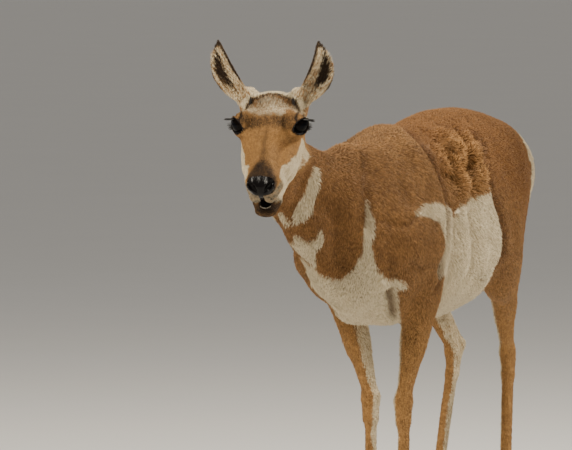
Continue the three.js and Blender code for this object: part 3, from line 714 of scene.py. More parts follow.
# soft limits of her markings, and of painted shade on the haunch and inside the mouth, in the head's frame
# or the body's: an axis, where each starts and is full
axisOf = {"side": 0, "back": 1, "up": 2}
zones = {
    # on the head
    "cheek": (("up", -92, -84), ("back", 30, 20), ("side", 4, 12), ("back", -118, -108)),
    "lips": (("up", -20, -28), ("up", -60, -56), ("back", -104, -116)),
    "lowerLip": (("back", -98, -106), ("up", -82, -72), ("side", 8, 20)),
    "topOfHead": (("up", -2, 12),),
    "tuft": (("up", 8, 18),),
    "muzzle": (("up", -30, -22),),
    # how far back the painted shade inside the mouth reaches
    "mouth": (("back", -96, -106),),
    "chin": (("back", -98, -112), ("up", -62, -68)),
    "underChin": (("up", -76, -84),),
    "forehead": (("side", 56, 46), ("up", 6, 14)),
    "grizzled": (("back", 30, 10), ("up", -40, -10)),
    "tanFace": (("up", -98, -86),),
    "lessTanNape": (("back", 26, 52), ("up", 14, 0)),
    "lessTanCrown": (("back", 2, 22), ("up", 4, 14)),
    "nosePad": (("side", 27, 24),),
    "noseGroove": (("side", 5.4, 3.2), ("back", -136, -142), ("up", -54, -50)),
    "rightSide": (("side", -36, -45),),
    # on the body
    "besideThigh": (("back", 55, 80), ("side", 62, 84)),
    "flank": (("up", 540, 580),),
    "tailRoot": (("back", 382, 406),),
    "rumpLine": (("back", 250, 300), ("up", 690, 720)),
    "paleLegs": (("up", 600, 410),),
    "richNeck": (("back", -240, -430),),
    "richBack": (("back", -230, -120),),
    # where painted shade darkens the top of the haunch
    "shadedHaunch": (("back", 60, 200), ("up", 660, 760)),
    "neck": (("back", -330, -420),),
    "trunk": (("up", 430, 480),),
    "inLeg": (("up", 600, 470), ("up", 40, 160)),
}
# how strongly these markings show, and the painted shade over the haunch
strength = {
    "crown": 0.95, "tuft": 0.54, "temple": 0.55, "lowerLip": 0.6,
    "muzzle": 0.86, "brow": 0.9, "lips": 0.9, "noseLine": 0.55, "crownLine": 0.75,
    "armpit": 0.8, "innerLeg": 0.65, "richNeck": 0.36, "richBack": 0.9, "shadedHaunch": 0.3,
    "tail": 0.62, "rumple": 0.5,
}
# the brown line across the crown: how far back, how it bends ahead, and its steeper ends
crownLine = {"back": 52, "bend": 0.004, "corner": 42, "fall": 0.05}
# the whitish tuft in the middle of the crown, and the pale temple
crownTuft = {"place": (-2, 23), "half": (50, 28), "edge": (0.6, 1.1)}
temple = {"place": (54, 30, 14), "edge": (14, 33)}
# where the dark of the muzzle ends and where the bare pad of the nose does, both further ahead at the sides
muzzle = {"back": -86, "slope": 0.45, "bend": 0.035}
nose = {"back": -130, "slope": 0.15, "grooveTop": -20}
# the brown beside the foreleg, up to the armpit: it starts nearer the middle further down
besideForeleg = {"side": 76, "lean": 0.25, "top": 566, "back": -225, "under": 568}
# where the white of the chest and the belly ends, and how high the flank's white leaves the forelegs brown
whiteBelow = {"chestBack": -230, "chestTop": 560, "bellyFront": -330, "bellyTop": 566, "legTop": 590}
# the black of her ears, by how far across them (-1 to 1) and how far up (0 to 1)
earMarks = {
    "middle": (0.22, 0.5),  # of the black in the hollow
    "half": (0.5, 0.36),
    "edge": (0.45, 1.25),
    "rim": (0.83, 0.94),
    "tip": (0.82, 0.92),
    "innerEdge": (-0.92, -0.58),
    "within": 0.85,  # how black the edges are in the hollow
    "tipBehind": 0.7,
    "rimBehind": 0.6,
    "pale": 0.55,  # how white the rest is in the hollow, and behind
    "paleBehind": 0.12,
}


def zone(places, name):  # 1 where all its limits are full, 0 outside any of them
    inside = 1.0
    for axis, start, full in zones[name]:
        inside = inside * smooth(start, full, places[:, axisOf[axis]])
    return inside


def earFacts(local):  # how far up and across, whether in the hollow, and whether on an ear at all
    u, s, f = earPlace(*local.T, np.where(local[:, 0] > 0, 1, -1))
    wide, middle, _ = earSection(u, s)
    onEar = (u > 0.03) & (u < 1.2) & (np.abs(s) < wide * 1.25) & (local[:, 1] > 55)
    return u, s / wide, f > middle, onEar


def behindCrown(face, ragged):  # how far behind the brown line across the crown
    x, y, _ = face.T
    corner = np.maximum(x - crownLine["corner"], 0)
    arc = crownLine["back"] - crownLine["bend"] * x * x - crownLine["fall"] * corner ** 2
    return y - arc + ragged * 0.5


def lidRing(local):  # how far outside the opening of the lids, and whether an eye is near
    far, along, across = eyePlace(*local.T, np.where(local[:, 0] > 0, 1, -1))
    return lidOpening(np.maximum(far, 1), along, across), (far < eye["radius"] + 14) & (local[:, 1] < 34)


def whiteOfFace(local, ragged):
    face = mirrored(local)
    y, z = face[:, 1], face[:, 2]
    top = np.interp(y, markings["cheekAlong"], markings["cheekTop"]) + ragged
    top = top + markings["rightCheek"] * zone(local, "rightSide")
    cheek = smooth(-3, 3, top - z) * zone(face, "cheek") * (0.8 + waves(local, 16, 31) * 0.07)
    cheek = cheek * (1 - 0.4 * strokes(face, markings["cheekShade"], 6))
    lips = zone(face, "lips") * (0.6 + ragged * 0.08)
    lowerLip = zone(face, "lowerLip") * (z < mouth["place"][2] + 1) * strength["lowerLip"]
    crown = smooth(2, 6, behindCrown(face, ragged)) * zone(face, "topOfHead") * strength["crown"]
    fromTuft = (local[:, :2] - crownTuft["place"]) / crownTuft["half"]
    onTuft = 1 - smooth(*crownTuft["edge"], np.hypot(*fromTuft.T) + ragged * 0.07)
    onTemple = 1 - smooth(*temple["edge"], np.linalg.norm(face - temple["place"], axis=1))
    white = np.maximum.reduce([cheek, lips, crown, onTuft * zone(face, "tuft") * strength["tuft"],
                               onTemple * strength["temple"], lowerLip])
    return white, lips, lowerLip


def darkOfFace(local, ragged, lips, lowerLip, lids, shadeInMouth):
    face = mirrored(local)
    x, y = face[:, 0], face[:, 1]
    beyond = muzzle["back"] - y - muzzle["slope"] * x - muzzle["bend"] * x * x + ragged
    onMuzzle = smooth(-26, 26, beyond) * zone(face, "muzzle")
    chin = zone(face, "chin") * (1 - lowerLip)
    chin = chin * (1 - (0.3 + waves(local, 7, 35) * 0.08) * zone(face, "underChin"))
    band = (1 - smooth(4, 33, np.abs(y + 10 - 0.1 * x + ragged))) * zone(face, "forehead")
    band = band * (0.6 + waves(local, 7, 27) * 0.08)
    behind = behindCrown(face, ragged)
    ahead = (0.46 + waves(local, 6, 28) * 0.1) * (1 - smooth(10, 36, -behind)) * (behind < 0)
    line = np.maximum((1 - smooth(2.5, 8, np.abs(behind))) * strength["crownLine"], ahead)
    line = line * zone(face, "topOfHead")
    brow = strokes(face, markings["browPatch"], 3) * strength["brow"]
    noseLine = strokes(local, markings["noseLine"], 8) * strength["noseLine"]
    grizzle = zone(face, "grizzled") * (0.17 + waves(local, 8, 34) * 0.04)
    return np.maximum.reduce([lids, onMuzzle * strength["muzzle"], shadeInMouth, chin, band, line,
                              brow, lips * strength["lips"], noseLine, grizzle])


def paintHead(local):  # how white, dark, tan and bare of hair her face is at each point
    face = mirrored(local)
    x, y, z = face.T
    ragged = waves(local, 11, 21) * 1.4
    ring, nearEye = lidRing(local)
    # the inside of the mouth painted black, as painted shade
    shadeInMouth = (1 - smooth(1.5, 4.0, mouthSlot(*local.T))) * zone(face, "mouth")
    white, lips, lowerLip = whiteOfFace(local, ragged)
    dark = darkOfFace(local, ragged, lips, lowerLip, (1 - smooth(1.0, 4.2, ring)) * nearEye, shadeInMouth)
    tan = zone(face, "tanFace") * (1 - 0.75 * zone(face, "lessTanNape"))
    tan = tan * (1 - 0.7 * zone(face, "lessTanCrown"))
    pad = smooth(-1.5, 1.5, nose["back"] - y - nose["slope"] * x) * smooth(-26, -22.5, z + 0.1 * x)
    groove = zone(face, "noseGroove") * (z < nose["grooveTop"])
    lidEdge = (1 - smooth(0.4, 2.0, ring)) * nearEye
    bare = np.maximum.reduce([pad * zone(face, "nosePad"), groove, lidEdge, shadeInMouth])
    return white, dark, tan, bare


def paintEars(local, ears, white, dark):  # the same white and dark, but on the ears their own
    u, s, inside, onEar = ears
    streak = waves(local, 6, 24) * 0.2
    (across, up), (wide, high) = earMarks["middle"], earMarks["half"]
    hollow = 1 - smooth(*earMarks["edge"], np.hypot((s - across) / wide, (u - up) / high) + streak)
    rim = smooth(*earMarks["rim"], np.abs(s)) * smooth(0.12, 0.35, u)
    tip = smooth(*earMarks["tip"], u + 0.05 * np.abs(s))
    innerEdge = 1 - smooth(*earMarks["innerEdge"], s - 0.3 * smooth(0.6, 1.0, u))
    edges = np.maximum.reduce([rim, tip, innerEdge * smooth(0.3, 0.42, u)])
    within = np.maximum(hollow, edges * earMarks["within"])
    behind = np.maximum(tip * earMarks["tipBehind"], rim * earMarks["rimBehind"])
    paleWithin = earMarks["pale"] - 0.15 * smooth(0.25, -0.1, u) * (s < 0.2) + streak * 0.6
    paleBehind = earMarks["paleBehind"] + 0.55 * smooth(0.34, 0.14, u)  # whiter at the root
    white = np.where(onEar, np.where(inside, paleWithin, paleBehind), white)
    return white, np.where(onEar, np.where(inside, within, behind), dark)


def whiteOfBody(points, foreleg, hindleg):  # and the brown line down the middle of the rump
    both = mirrored(points)
    x, y, z = both.T
    ragged = waves(points, 26, 3) * 5
    chestTop = np.interp(points[:, 0], chestEdge["across"], chestEdge["top"]) + ragged * 0.6
    chestWide = np.interp(z, chestSide["height"], chestSide["reach"]) + ragged * 0.5
    inFront = np.maximum(smooth(3, -3, x - chestWide), (1 - foreleg) * (z < whiteBelow["chestTop"]))
    chest = smooth(5, -5, z - chestTop) * (y < whiteBelow["chestBack"]) * inFront
    belly = smooth(10, -10, z - whiteBelow["bellyTop"] - ragged) * (y > whiteBelow["bellyFront"])
    belly = belly * (1 - np.maximum(foreleg, hindleg)) * (1 - zone(both, "besideThigh"))
    aside = x - besideForeleg["side"] + besideForeleg["lean"] * (besideForeleg["top"] - z)
    besideLeg = smooth(-4, 5, aside) * (y < besideForeleg["back"]) * (z < besideForeleg["under"])
    flankTop = np.interp(y, flankPatch["along"], flankPatch["top"]) + ragged * 0.7
    front, back = (np.interp(z, flankPatch["height"], flankPatch[side]) for side in ("front", "back"))
    flank = smooth(6, -6, z - flankTop) * smooth(-4, 4, y - front) * smooth(6, -6, y - back - ragged * 0.6)
    flank = flank * zone(both, "flank") * (1 - foreleg * (z < whiteBelow["legTop"]))
    rump = np.linalg.norm((points - rumpPatch["centre"]) / rumpPatch["reach"], axis=1) * rumpPatch["size"]
    rump = 1 - smooth(*rumpPatch["edge"], rump + ragged)
    white = np.maximum.reduce([
        strokes(inNeck(points), markings["neckBands"], 5),
        strokes(both, markings["shoulderStripe"], 5),
        strokes(both, markings["behindShoulder"], 6),
        strokes(both, markings["armpit"], 5) * strength["armpit"],
        chest * (1 - besideLeg), belly * (1 - besideLeg), flank, rump])
    backLine = (1 - smooth(4, 12, x + ragged * 0.4)) * zone(both, "rumpLine")
    return white, backLine


def paintCoat(points, foreleg, hindleg, inner):  # every mask of the coat, from 0 to 1
    local, both = toHead(points), mirrored(points)
    y, z = both[:, 1], both[:, 2]
    onHead = smooth(*neckCut["furTurns"], aheadOfCut(points))
    ears = earFacts(local)
    onFace, faceDark, faceTan, bare = paintHead(local)
    white, backLine = whiteOfBody(points, foreleg, hindleg)
    white = np.maximum(white, inner * strength["innerLeg"]) * (1 - onHead)
    onTail = strokes(points, [(tail["root"], tail["tip"], *tail["brown"])], 8) * zone(both, "tailRoot")
    white = white * (1 - np.maximum(onTail, backLine) * strength["tail"])
    white = np.maximum(white, onHead * onFace)
    white, dark = paintEars(local, ears, white, onHead * faceDark)
    tan = np.where(ears[3], 1.0, np.maximum(onHead * faceTan, zone(both, "paleLegs")))
    richBack = zone(both, "richBack") * smooth(700, 810, z + 0.35 * np.maximum(y, 0))
    rich = strength["richNeck"] * zone(both, "richNeck") * (1 - tan)
    rich = np.maximum(rich, strength["richBack"] * richBack) * (1 - onHead * tan)
    # painted shade over the top of the haunch
    dark = np.maximum(dark, strength["shadedHaunch"] * zone(both, "shadedHaunch") * (1 - onHead))
    tan = np.maximum(tan, strength["rumple"] * (1 - smooth(0.5, 1.2, fromRumple(points))))
    return {"white": white, "dark": dark, "tan": tan, "bare": onHead * bare, "rich": rich}, ears, onHead


# where the hair lies: a place, the way the hair runs there, and how far that holds
lieOnHead = [
    ((0, -110, 0), (0.0, 1, 0.05), 60), ((0, -20, 25), (0, 1, 0.1), 40),
    ((0, 36, 28), (0, 1, 0.3), 22), ((30, -6, 18), (0.5, 0.85, 0.15), 22),
    ((40, -40, -30), (0.1, 0.92, -0.3), 34), ((36, 30, -50), (0, 0.75, -0.6), 40),
    ((14, -80, -72), (0.1, 1, -0.15), 40), ((16, -155, -36), (0.5, 0.5, -0.7), 16),
    ((0, -136, -78), (0, 0.9, -0.3), 24), ((15, -160, -6), (0.3, 0.9, 0.3), 14),
    ((56, 26, 4), (0.2, 0.9, -0.1), 24), ((0, 40, -90), (0, 0.6, -0.8), 40),
    ((20, 66, 10), (0.3, 0.7, 0.5), 20),
]
lieOnBody = [
    ((10, -400, 790), (0.05, 0.8, -0.3), 60), ((45, -420, 745), (0.0, 0.68, -0.72), 60),
    ((0, -470, 690), (0.0, 0.45, -0.9), 60), ((60, -330, 720), (0.1, 0.6, -0.75), 70),
    ((0, -180, 860), (0, 1, -0.1), 80), ((0, 100, 885), (0, 1, -0.05), 130),
    ((0, 300, 850), (0, 0.9, -0.45), 70), ((130, 0, 720), (0, 0.85, -0.5), 120),
    ((115, 0, 570), (0, 0.8, -0.5), 90), ((0, 0, 490), (0, 1, 0), 120),
    ((100, -240, 720), (0, 0.5, -0.85), 80), ((40, -385, 610), (0.15, 0.15, -1), 70),
    ((0, -320, 500), (0, 0.9, -0.4), 60), ((85, -200, 540), (0, 0.25, -1), 70),
    ((105, 210, 760), (0, 0.7, -0.7), 80), ((95, 240, 620), (0, 0.35, -0.95), 80),
    ((118, 110, 660), (0, 0.5, -0.8), 60), ((70, 345, 760), (0.6, 0.3, -0.75), 50),
    ((10, 400, 745), (0.1, 0.3, -1), 50), ((60, -220, 260), (0, 0.12, -1), 150),
    ((60, 270, 260), (0, 0.12, -1), 150),
]
# on the neck it sweeps round from the side to the throat
neckWay = {"side": (0.36, 0.8, -0.48), "throat": (0, -0.5, -0.87), "under": (0, -0.69, -0.72)}
rumple = {"centre": (96, -42, 786), "reach": (60, 96, 72), "size": 34, "turn": 0.8, "raise": 4.0}
# the back edge of her shoulder and the fold where the flank meets the thigh
shoulderEdge = ((17, -159, 844), (51, -190, 836), (77, -203, 818), (92, -202, 795), (103, -192, 768),
                (110, -188, 740), (117, -190, 712), (123, -198, 685), (127, -213, 655), (124, -225, 625),
                (116, -225, 595))
flankFold = ((84, 24, 806), (101, 18, 778), (119, 15, 755), (127, 17, 732), (129, 25, 707), (132, 43, 678),
             (132, 59, 648), (127, 66, 614), (122, 45, 585))
relief = [  # start, end, width, height of folds and hollows in the coat
    ((112, -238, 690), (124, -236, 636), 22, 5),  # triceps
    ((98, -230, 722), (112, -262, 696), 12, -5),
    ((14, -330, 806), (28, -364, 760), 15, -7),  # between neck and shoulder
    ((28, -364, 760), (44, -384, 690), 15, -8),
    ((56, -310, 770), (62, -346, 700), 30, 4),
    ((55, -54, 842), (82, -40, 824), 11, 11),  # ruffled folds over the last ribs
    ((82, -40, 824), (100, -54, 796), 12, 13),
    ((100, -54, 796), (115, -86, 732), 14, 11),
    ((74, 46, 838), (89, 42, 828), 9, 10),
    ((89, 42, 828), (108, 26, 800), 11, 12),
    ((108, 26, 800), (120, -22, 738), 13, 11),
    ((62, -128, 818), (88, -118, 784), 12, 8),
    ((34, -84, 850), (60, -92, 830), 10, -8),
    ((62, -134, 817), (70, -126, 806), 10, -9),
    ((66, 2, 844), (94, -6, 812), 10, -9),
    ((94, -6, 812), (110, -36, 764), 11, -8),
    ((92, -84, 800), (108, -100, 752), 10, -9),
    ((75, -118, 806), (78, -80, 803), 8, -6),
    ((78, -80, 803), (88, -71, 793), 8, -6),
    ((93, -144, 771), (96, -111, 764), 8, -7),
    ((96, -111, 764), (103, -92, 752), 8, -6),
    ((105, -158, 738), (113, -153, 716), 8, -7),
    ((113, -153, 716), (113, -118, 701), 8, -8),
    ((88, 67, 822), (97, 63, 806), 8, -8),
    ((97, 63, 806), (104, 52, 789), 8, -8),
    ((77, -28, 827), (92, 12, 817), 7, -6),
    ((112, -134, 702), (110, -138, 600), 13, -6),  # upright folds in the white
    ((119, -104, 690), (118, -92, 590), 15, 6),
    ((124, -70, 690), (122, -58, 580), 12, -5),
    ((128, -34, 690), (127, -14, 590), 18, 6),
    ((70, -334, 566), (60, -290, 514), 12, -13),  # armpit
    ((66, -362, 578), (96, -300, 572), 9, 6),
    ((60, -367, 696), (78, -343, 688), 9, -4),  # creases over the arm
    ((78, -343, 688), (102, -329, 683), 9, -5),
    ((102, -329, 683), (112, -308, 700), 9, -6),
    ((82, -291, 750), (97, -301, 722), 10, -4),
    ((106, -316, 611), (112, -290, 600), 9, -5),
]
overlaps = [  # a line, how far the part ahead of it swells, the groove behind it and how strong the painted shade in that groove is
    (shoulderEdge, 10, 20, 0.75),
    (flankFold, 6, 12, 0.6),
]


def fromRumple(points):  # distance from the middle of the rumpled coat over her last ribs
    return np.linalg.norm((mirrored(points) - rumple["centre"]) / rumple["reach"], axis=1)


def fromEdge(points, line):  # distance from a line down her side, counted backwards from it
    nearest, signed = np.full(len(points), 1e3), np.full(len(points), 1e3)
    for start, end in zip(line[:-1], line[1:]):
        t, far = alongLine(points, start, end)
        behind = points[:, 1] - (start[1] + t * (end[1] - start[1]))
        signed = np.where(far < nearest, np.sign(behind) * far, signed)
        nearest = np.minimum(nearest, far)
    return signed


def overlap(points, line, bulge, groove):  # the part ahead of the line swells over the part behind it; also gives where painted shade falls in the groove behind it
    far = fromEdge(points, line)
    groove = groove * (0.25 + 0.75 * smooth(15, 65, points[:, 0]))  # shallower near the spine
    height = bulge * np.exp(-((far + 16) / 26) ** 2) - groove * np.exp(-((far - 11) / 14) ** 2)
    return height, np.exp(-((far - 21) / 17) ** 2)


def coatRelief(points):  # how high the coat stands at each point, how much painted shade its folds and hollows get, how rumpled
    onTrunk = smooth(0, -30, aheadOfCut(points)) * zone(points, "trunk")
    rough = smooth(0, 0.6, np.clip(1.25 - fromRumple(points), 0, 1) * onTrunk)
    sway = np.column_stack([waves(points, 52, seed) for seed in (41, 42, 43)])
    bent = mirrored(points) + sway * (rough * 5)[:, None]
    risen, sunk = np.zeros(len(points)), np.zeros(len(points))
    for start, end, wide, rise in relief:
        _, far = alongLine(bent, start, end)
        rise = rise * np.exp(-(far / wide) ** 2)
        risen, sunk = np.maximum(risen, rise), np.minimum(sunk, rise)
    height = risen + sunk
    # painted shade in every hollow of the coat, fuller in the deeper ones
    fold = smooth(1, 14, -height)
    for line, bulge, groove, shade in overlaps:
        rise, behind = overlap(mirrored(points), line, bulge, groove)
        height += rise
        fold = np.maximum(fold, shade * behind)
    height = height + waves(points, 90, 5) * 0.9
    height = height + rough * rumple["raise"] * waves(points, rumple["size"], 8) * 0.6
    return height * onTrunk, fold * onTrunk, rough


legsFrom = {"front": -430, "under": 430, "ends": 400, "far": 500}  # where the trunk counts beside them


def legShares(points, normals):  # how far each point is on a foreleg, a hindleg and a leg's inner side
    x, y, z = points.T
    nearTrunk = (y > legsFrom["front"]) & (z > legsFrom["under"])
    onTrunk = trunkDistance(x, np.clip(y, -legsFrom["ends"], legsFrom["ends"]), z)
    trunkField = np.where(nearTrunk, onTrunk, legsFrom["far"])
    legFields = {name: groupDistance(points, masses) for name, masses in legMasses.items()}
    fore, hind = (smooth(-3, 9, trunkField - np.minimum(legFields[pair + "Left"], legFields[pair + "Right"]))
                  for pair in ("fore", "hind"))
    inward = -normals[:, 0] * np.sign(x) + 0.25 * (normals[:, 1] > 0.2)
    return fore, hind, smooth(0.4, 0.75, inward) * zone(points, "inLeg")


def lengths(vectors):
    return np.linalg.norm(vectors, axis=1)[:, None]


def wayOfHair(points, guides):
    total = np.zeros_like(points)
    places = mirrored(points)
    for place, way, reach in guides:
        far = ((places - place) ** 2).sum(1)
        weight = np.exp(-far / (reach * reach)) + 30.0 / (far * far / 1e4 + 400.0)
        total += weight[:, None] * unit(way)
    total[:, 0] *= np.where(points[:, 0] < 0, -1.0, 1.0)
    return total


def lieOfHair(points, normals, ears, onHead, white, rough):
    local = toHead(points)
    _, s, inside, onEar = ears
    onBody = wayOfHair(points, lieOnBody)
    throat = smooth(10, 70, (points - neckLine["bend"]) @ np.array(neckWay["under"]))[:, None]
    onNeck = np.array(neckWay["side"]) * (1 - throat) + np.array(neckWay["throat"]) * throat
    onBody += zone(points, "neck")[:, None] * lengths(onBody) * onNeck * (0.8 + 1.4 * throat)
    onFace = wayOfHair(local, lieOnHead) @ headFrame[0]
    onEars = np.tile(ear["axis"], (len(points), 1))
    onEars[:, 0] = np.sign(local[:, 0]) * (ear["axis"][0] + ear["combed"] * inside * s)
    onBody, onFace = onBody / lengths(onBody), onFace / lengths(onFace)
    lie = np.where(onEar[:, None], onEars @ headFrame[0], onBody + (onFace - onBody) * onHead[:, None])
    lie = lie - (lie * normals).sum(1)[:, None] * normals
    lie = lie / np.maximum(lengths(lie), 1e-6)
    turn = waves(points, 60, 11) * 0.16 + rough * rumple["turn"] * waves(points, 46, 12)
    turn += white * (1 - onHead) * waves(points, 40, 13) * 0.2
    return lie * np.cos(turn)[:, None] + np.cross(normals, lie) * np.sin(turn)[:, None]


hair = {  # length, width, lift and how many thousand to the square metre
    "body": (9.5, 1.35, 0.16, 196),
    "neck": (8, 1.25, 0.14, 225),
    "nape": (12, 1.4, 0.26, 215),
    "white": (11.5, 1.5, 0.18, 185),
    "rump": (16, 1.7, 0.2, 175),
    "rumple": (14, 1.8, 0.36, 215),
    "leg": (6.5, 1.15, 0.12, 185),
    "face": (4.0, 0.8, 0.15, 470),
    "crown": (8.5, 1.0, 0.42, 420),
    "muzzle": (2.6, 0.7, 0.14, 560),
    "earBack": (4.5, 0.8, 0.1, 420),
    "earInside": (9, 0.85, 0.26, 430),
}
longHair = {  # lines with their widths at both ends
    "nape": [((-25, -330, 800), (-90, -470, 850), 34, 26)],
    "rump": [((0, 360, 790), (0, 380, 720), 90, 80)],
    "crown": [((0, 40, 26), (30, 60, 14), 20, 18)],
}


def sizesOfHair(points, ears, onHead, white, bare, rough):
    local = toHead(points)
    u, s, inside, onEar = ears
    sizes = np.zeros((len(points), 4)) + hair["body"]
    for name, amount in (
            ("neck", zone(points, "neck")),
            ("nape", strokes(points, longHair["nape"], 14) * 0.8),
            ("white", white * (1 - onHead)),
            ("rump", strokes(points, longHair["rump"], 30) * white),
            ("rumple", rough),
            ("leg", smooth(520, 330, points[:, 2] - 40 * (points[:, 1] > 0))),
            ("face", onHead),
            ("crown", onHead * strokes(mirrored(local), longHair["crown"], 10)),
            ("muzzle", onHead * smooth(-100, -128, local[:, 1])),
            ("earBack", onEar & ~inside),
            ("earInside", onEar & inside)):
        sizes = sizes + (np.array(hair[name]) - sizes) * np.clip(amount, 0, 1)[:, None]
    earEdge = np.maximum(smooth(0.7, 1.0, np.abs(s)), smooth(0.72, 0.95, u))
    sizes[:, 0] *= 1 - 0.55 * onEar * earEdge
    sizes[:, 3] *= 1 - bare
    return sizes


coatNames = ["face", "crown", "ears", "neck", "shoulderLeft", "shoulderRight", "ribsLeft", "ribsRight",
             "haunchLeft", "haunchRight", "forelegs", "hindlegs"]
coatEnds = {"face": -22, "legs": 455, "neck": -300, "neckFoot": 560, "shoulder": -110, "ribs": 110}


def pieceOfCoat(points, onEar):  # the first of these that fits
    x, y, z = points.T
    ahead, legs, left = aheadOfCut(points) > 0, z < coatEnds["legs"], x > 0
    fits = {
        "ears": onEar,
        "face": ahead & (toHead(points)[:, 1] < coatEnds["face"]),
        "crown": ahead,
        "forelegs": legs & (y < 0),
        "hindlegs": legs,
        "neck": (y < coatEnds["neck"]) & (z > coatEnds["neckFoot"]),
        "shoulderLeft": (y < coatEnds["shoulder"]) & left,
        "shoulderRight": y < coatEnds["shoulder"],
        "ribsLeft": (y < coatEnds["ribs"]) & left,
        "ribsRight": y < coatEnds["ribs"],
        "haunchLeft": left,
        "haunchRight": ~left,
    }
    return np.select(list(fits.values()), [coatNames.index(name) for name in fits])


def readVectors(items, name):
    flat = np.empty(len(items) * 3, np.float32)
    items.foreach_get(name, flat)
    return flat.reshape(-1, 3).astype(float)


def store(mesh, name, kind, domain, values):
    values = np.asarray(values, np.int32 if kind == "INT" else np.float32)
    field = "vector" if kind == "FLOAT_VECTOR" else "value"
    mesh.attributes.new(name, kind, domain).data.foreach_set(field, values.ravel())


def dressSkin(mesh):  # raises the coat, then writes its markings, lie and sizes onto the skin
    points = readVectors(mesh.vertices, "co")
    height, fold, rough = coatRelief(points)
    points = points + readVectors(mesh.vertex_normals, "vector") * height[:, None]
    mesh.vertices.foreach_set("co", ((points + shift) * mm).astype(np.float32).ravel())
    mesh.update()
    normals = readVectors(mesh.vertex_normals, "vector")

    masks, ears, onHead = paintCoat(points, *legShares(points, normals))
    lie = lieOfHair(points, normals, ears, onHead, masks["white"], rough)
    sizes = sizesOfHair(points, ears, onHead, masks["white"], masks["bare"], rough)
    sizes = sizes * (mm, mm, 1, 1000)
    measures = dict(zip(("hairLong", "hairWide", "hairLift", "hairMany"), sizes.T))
    for name, values in {**measures, **masks, "fold": fold, "rough": rough}.items():
        store(mesh, name, "FLOAT", "POINT", values)
    store(mesh, "lie", "FLOAT_VECTOR", "POINT", lie)

    # which piece of coat each face carries, from its first corner
    starts = np.empty(len(mesh.polygons), np.int32)
    mesh.polygons.foreach_get("loop_start", starts)
    corners = np.empty(len(mesh.loops), np.int32)
    mesh.loops.foreach_get("vertex_index", corners)
    first = corners[starts]
    piece = pieceOfCoat(points[first], ears[3][first])
    store(mesh, "coatPiece", "INT", "FACE", piece)
    for index, name in enumerate(coatNames):
        print("  ", name, "faces", int((piece == index).sum()))


eyeBoxes = [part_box("eye_left"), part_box("eye_right")]
eyeMiddle = sum(np.array(corner) for box in eyeBoxes for corner in box) / 4 / mm
shift = eyeMiddle - fromHead((0, eye["place"][1], eye["place"][2]))
print("moved by", np.round(shift, 2))
dressSkin(skinMesh)


# nodes are written as expressions: a wire carries a socket, and sums on wires add the nodes


def pickSocket(sockets, key):
    shown = [socket for socket in sockets if socket.enabled]
    return shown[key] if isinstance(key, int) else next(s for s in shown if s.name == key)


class Wire:
    def __init__(self, graph, socket):
        self.graph, self.socket = graph, socket

    def of(self, key):
        return Wire(self.graph, pickSocket(self.socket.node.outputs, key))

    def maths(self, kind, first, second):
        return self.graph.node("ShaderNodeMath", {"operation": kind}, {0: first, 1: second})

    def __add__(self, other):
        return self.maths("ADD", self, other)

    def __sub__(self, other):
        return self.maths("SUBTRACT", self, other)

    def __mul__(self, other):
        return self.maths("MULTIPLY", self, other)

    def __rsub__(self, other):
        return self.maths("SUBTRACT", other, self)

    __radd__ = __add__
    __rmul__ = __mul__

    def ramp(self, low, high):  # 0 at low, 1 at high, eased between
        return self.graph.node("ShaderNodeMapRange", {"interpolation_type": "SMOOTHSTEP"},
                               {"Value": self, "From Min": low, "From Max": high})


class Graph:
    def __init__(self, tree):
        self.tree = tree
        tree.nodes.clear()

    def node(self, kind, settings=None, sockets=None):
        made = self.tree.nodes.new(kind)
        for name, value in (settings or {}).items():
            setattr(made, name, value)
        for key, value in (sockets or {}).items():
            self.feed(pickSocket(made.inputs, key), value)
        shown = [socket for socket in made.outputs if socket.enabled]
        return Wire(self, shown[0]) if shown else made

    def feed(self, socket, value):
        if isinstance(value, Wire):
            self.tree.links.new(value.socket, socket)
        elif socket.type == "RGBA" and len(value) == 3:
            socket.default_value = (*value, 1.0)
        else:
            socket.default_value = value

    def mix(self, amount, first, second, kind="MIX"):
        return self.node("ShaderNodeMix", {"data_type": "RGBA", "blend_type": kind, "clamp_factor": True},
                         {"Factor": amount, "A": first, "B": second})

    def vector(self, kind, *values):
        return self.node("ShaderNodeVectorMath", {"operation": kind}, dict(enumerate(values)))

    def scaled(self, first, amount):
        return self.node("ShaderNodeVectorMath", {"operation": "SCALE"}, {0: first, "Scale": amount})


class Finish(Graph):
    def __init__(self, name):
        self.material = bpy.data.materials.new(name)
        self.material.use_nodes = True
        super().__init__(self.material.node_tree)
        self.place = self.node("ShaderNodeTexCoord").of("Object")

    def noise(self, scale, detail=3.0, roughness=0.5, stretch=None):
        place = self.place
        if stretch:
            place = self.node("ShaderNodeMapping", None, {"Vector": place, "Scale": stretch})
        return self.node("ShaderNodeTexNoise", None,
                         {"Vector": place, "Scale": scale, "Detail": detail, "Roughness": roughness})

    def mask(self, name):
        return self.node("ShaderNodeAttribute", {"attribute_name": name}).of("Fac")

    def bump(self, height, distance, strength=1.0):
        return self.node("ShaderNodeBump", None,
                         {"Height": height, "Distance": distance, "Strength": strength})

    def surface(self, colour, roughness, specular=0.5, normal=None):
        sockets = {"Base Color": colour, "Roughness": roughness, "Specular IOR Level": specular}
        if normal:
            sockets["Normal"] = normal
        shader = self.node("ShaderNodeBsdfPrincipled", None, sockets)
        self.node("ShaderNodeOutputMaterial", None, {"Surface": shader})
        return self.material


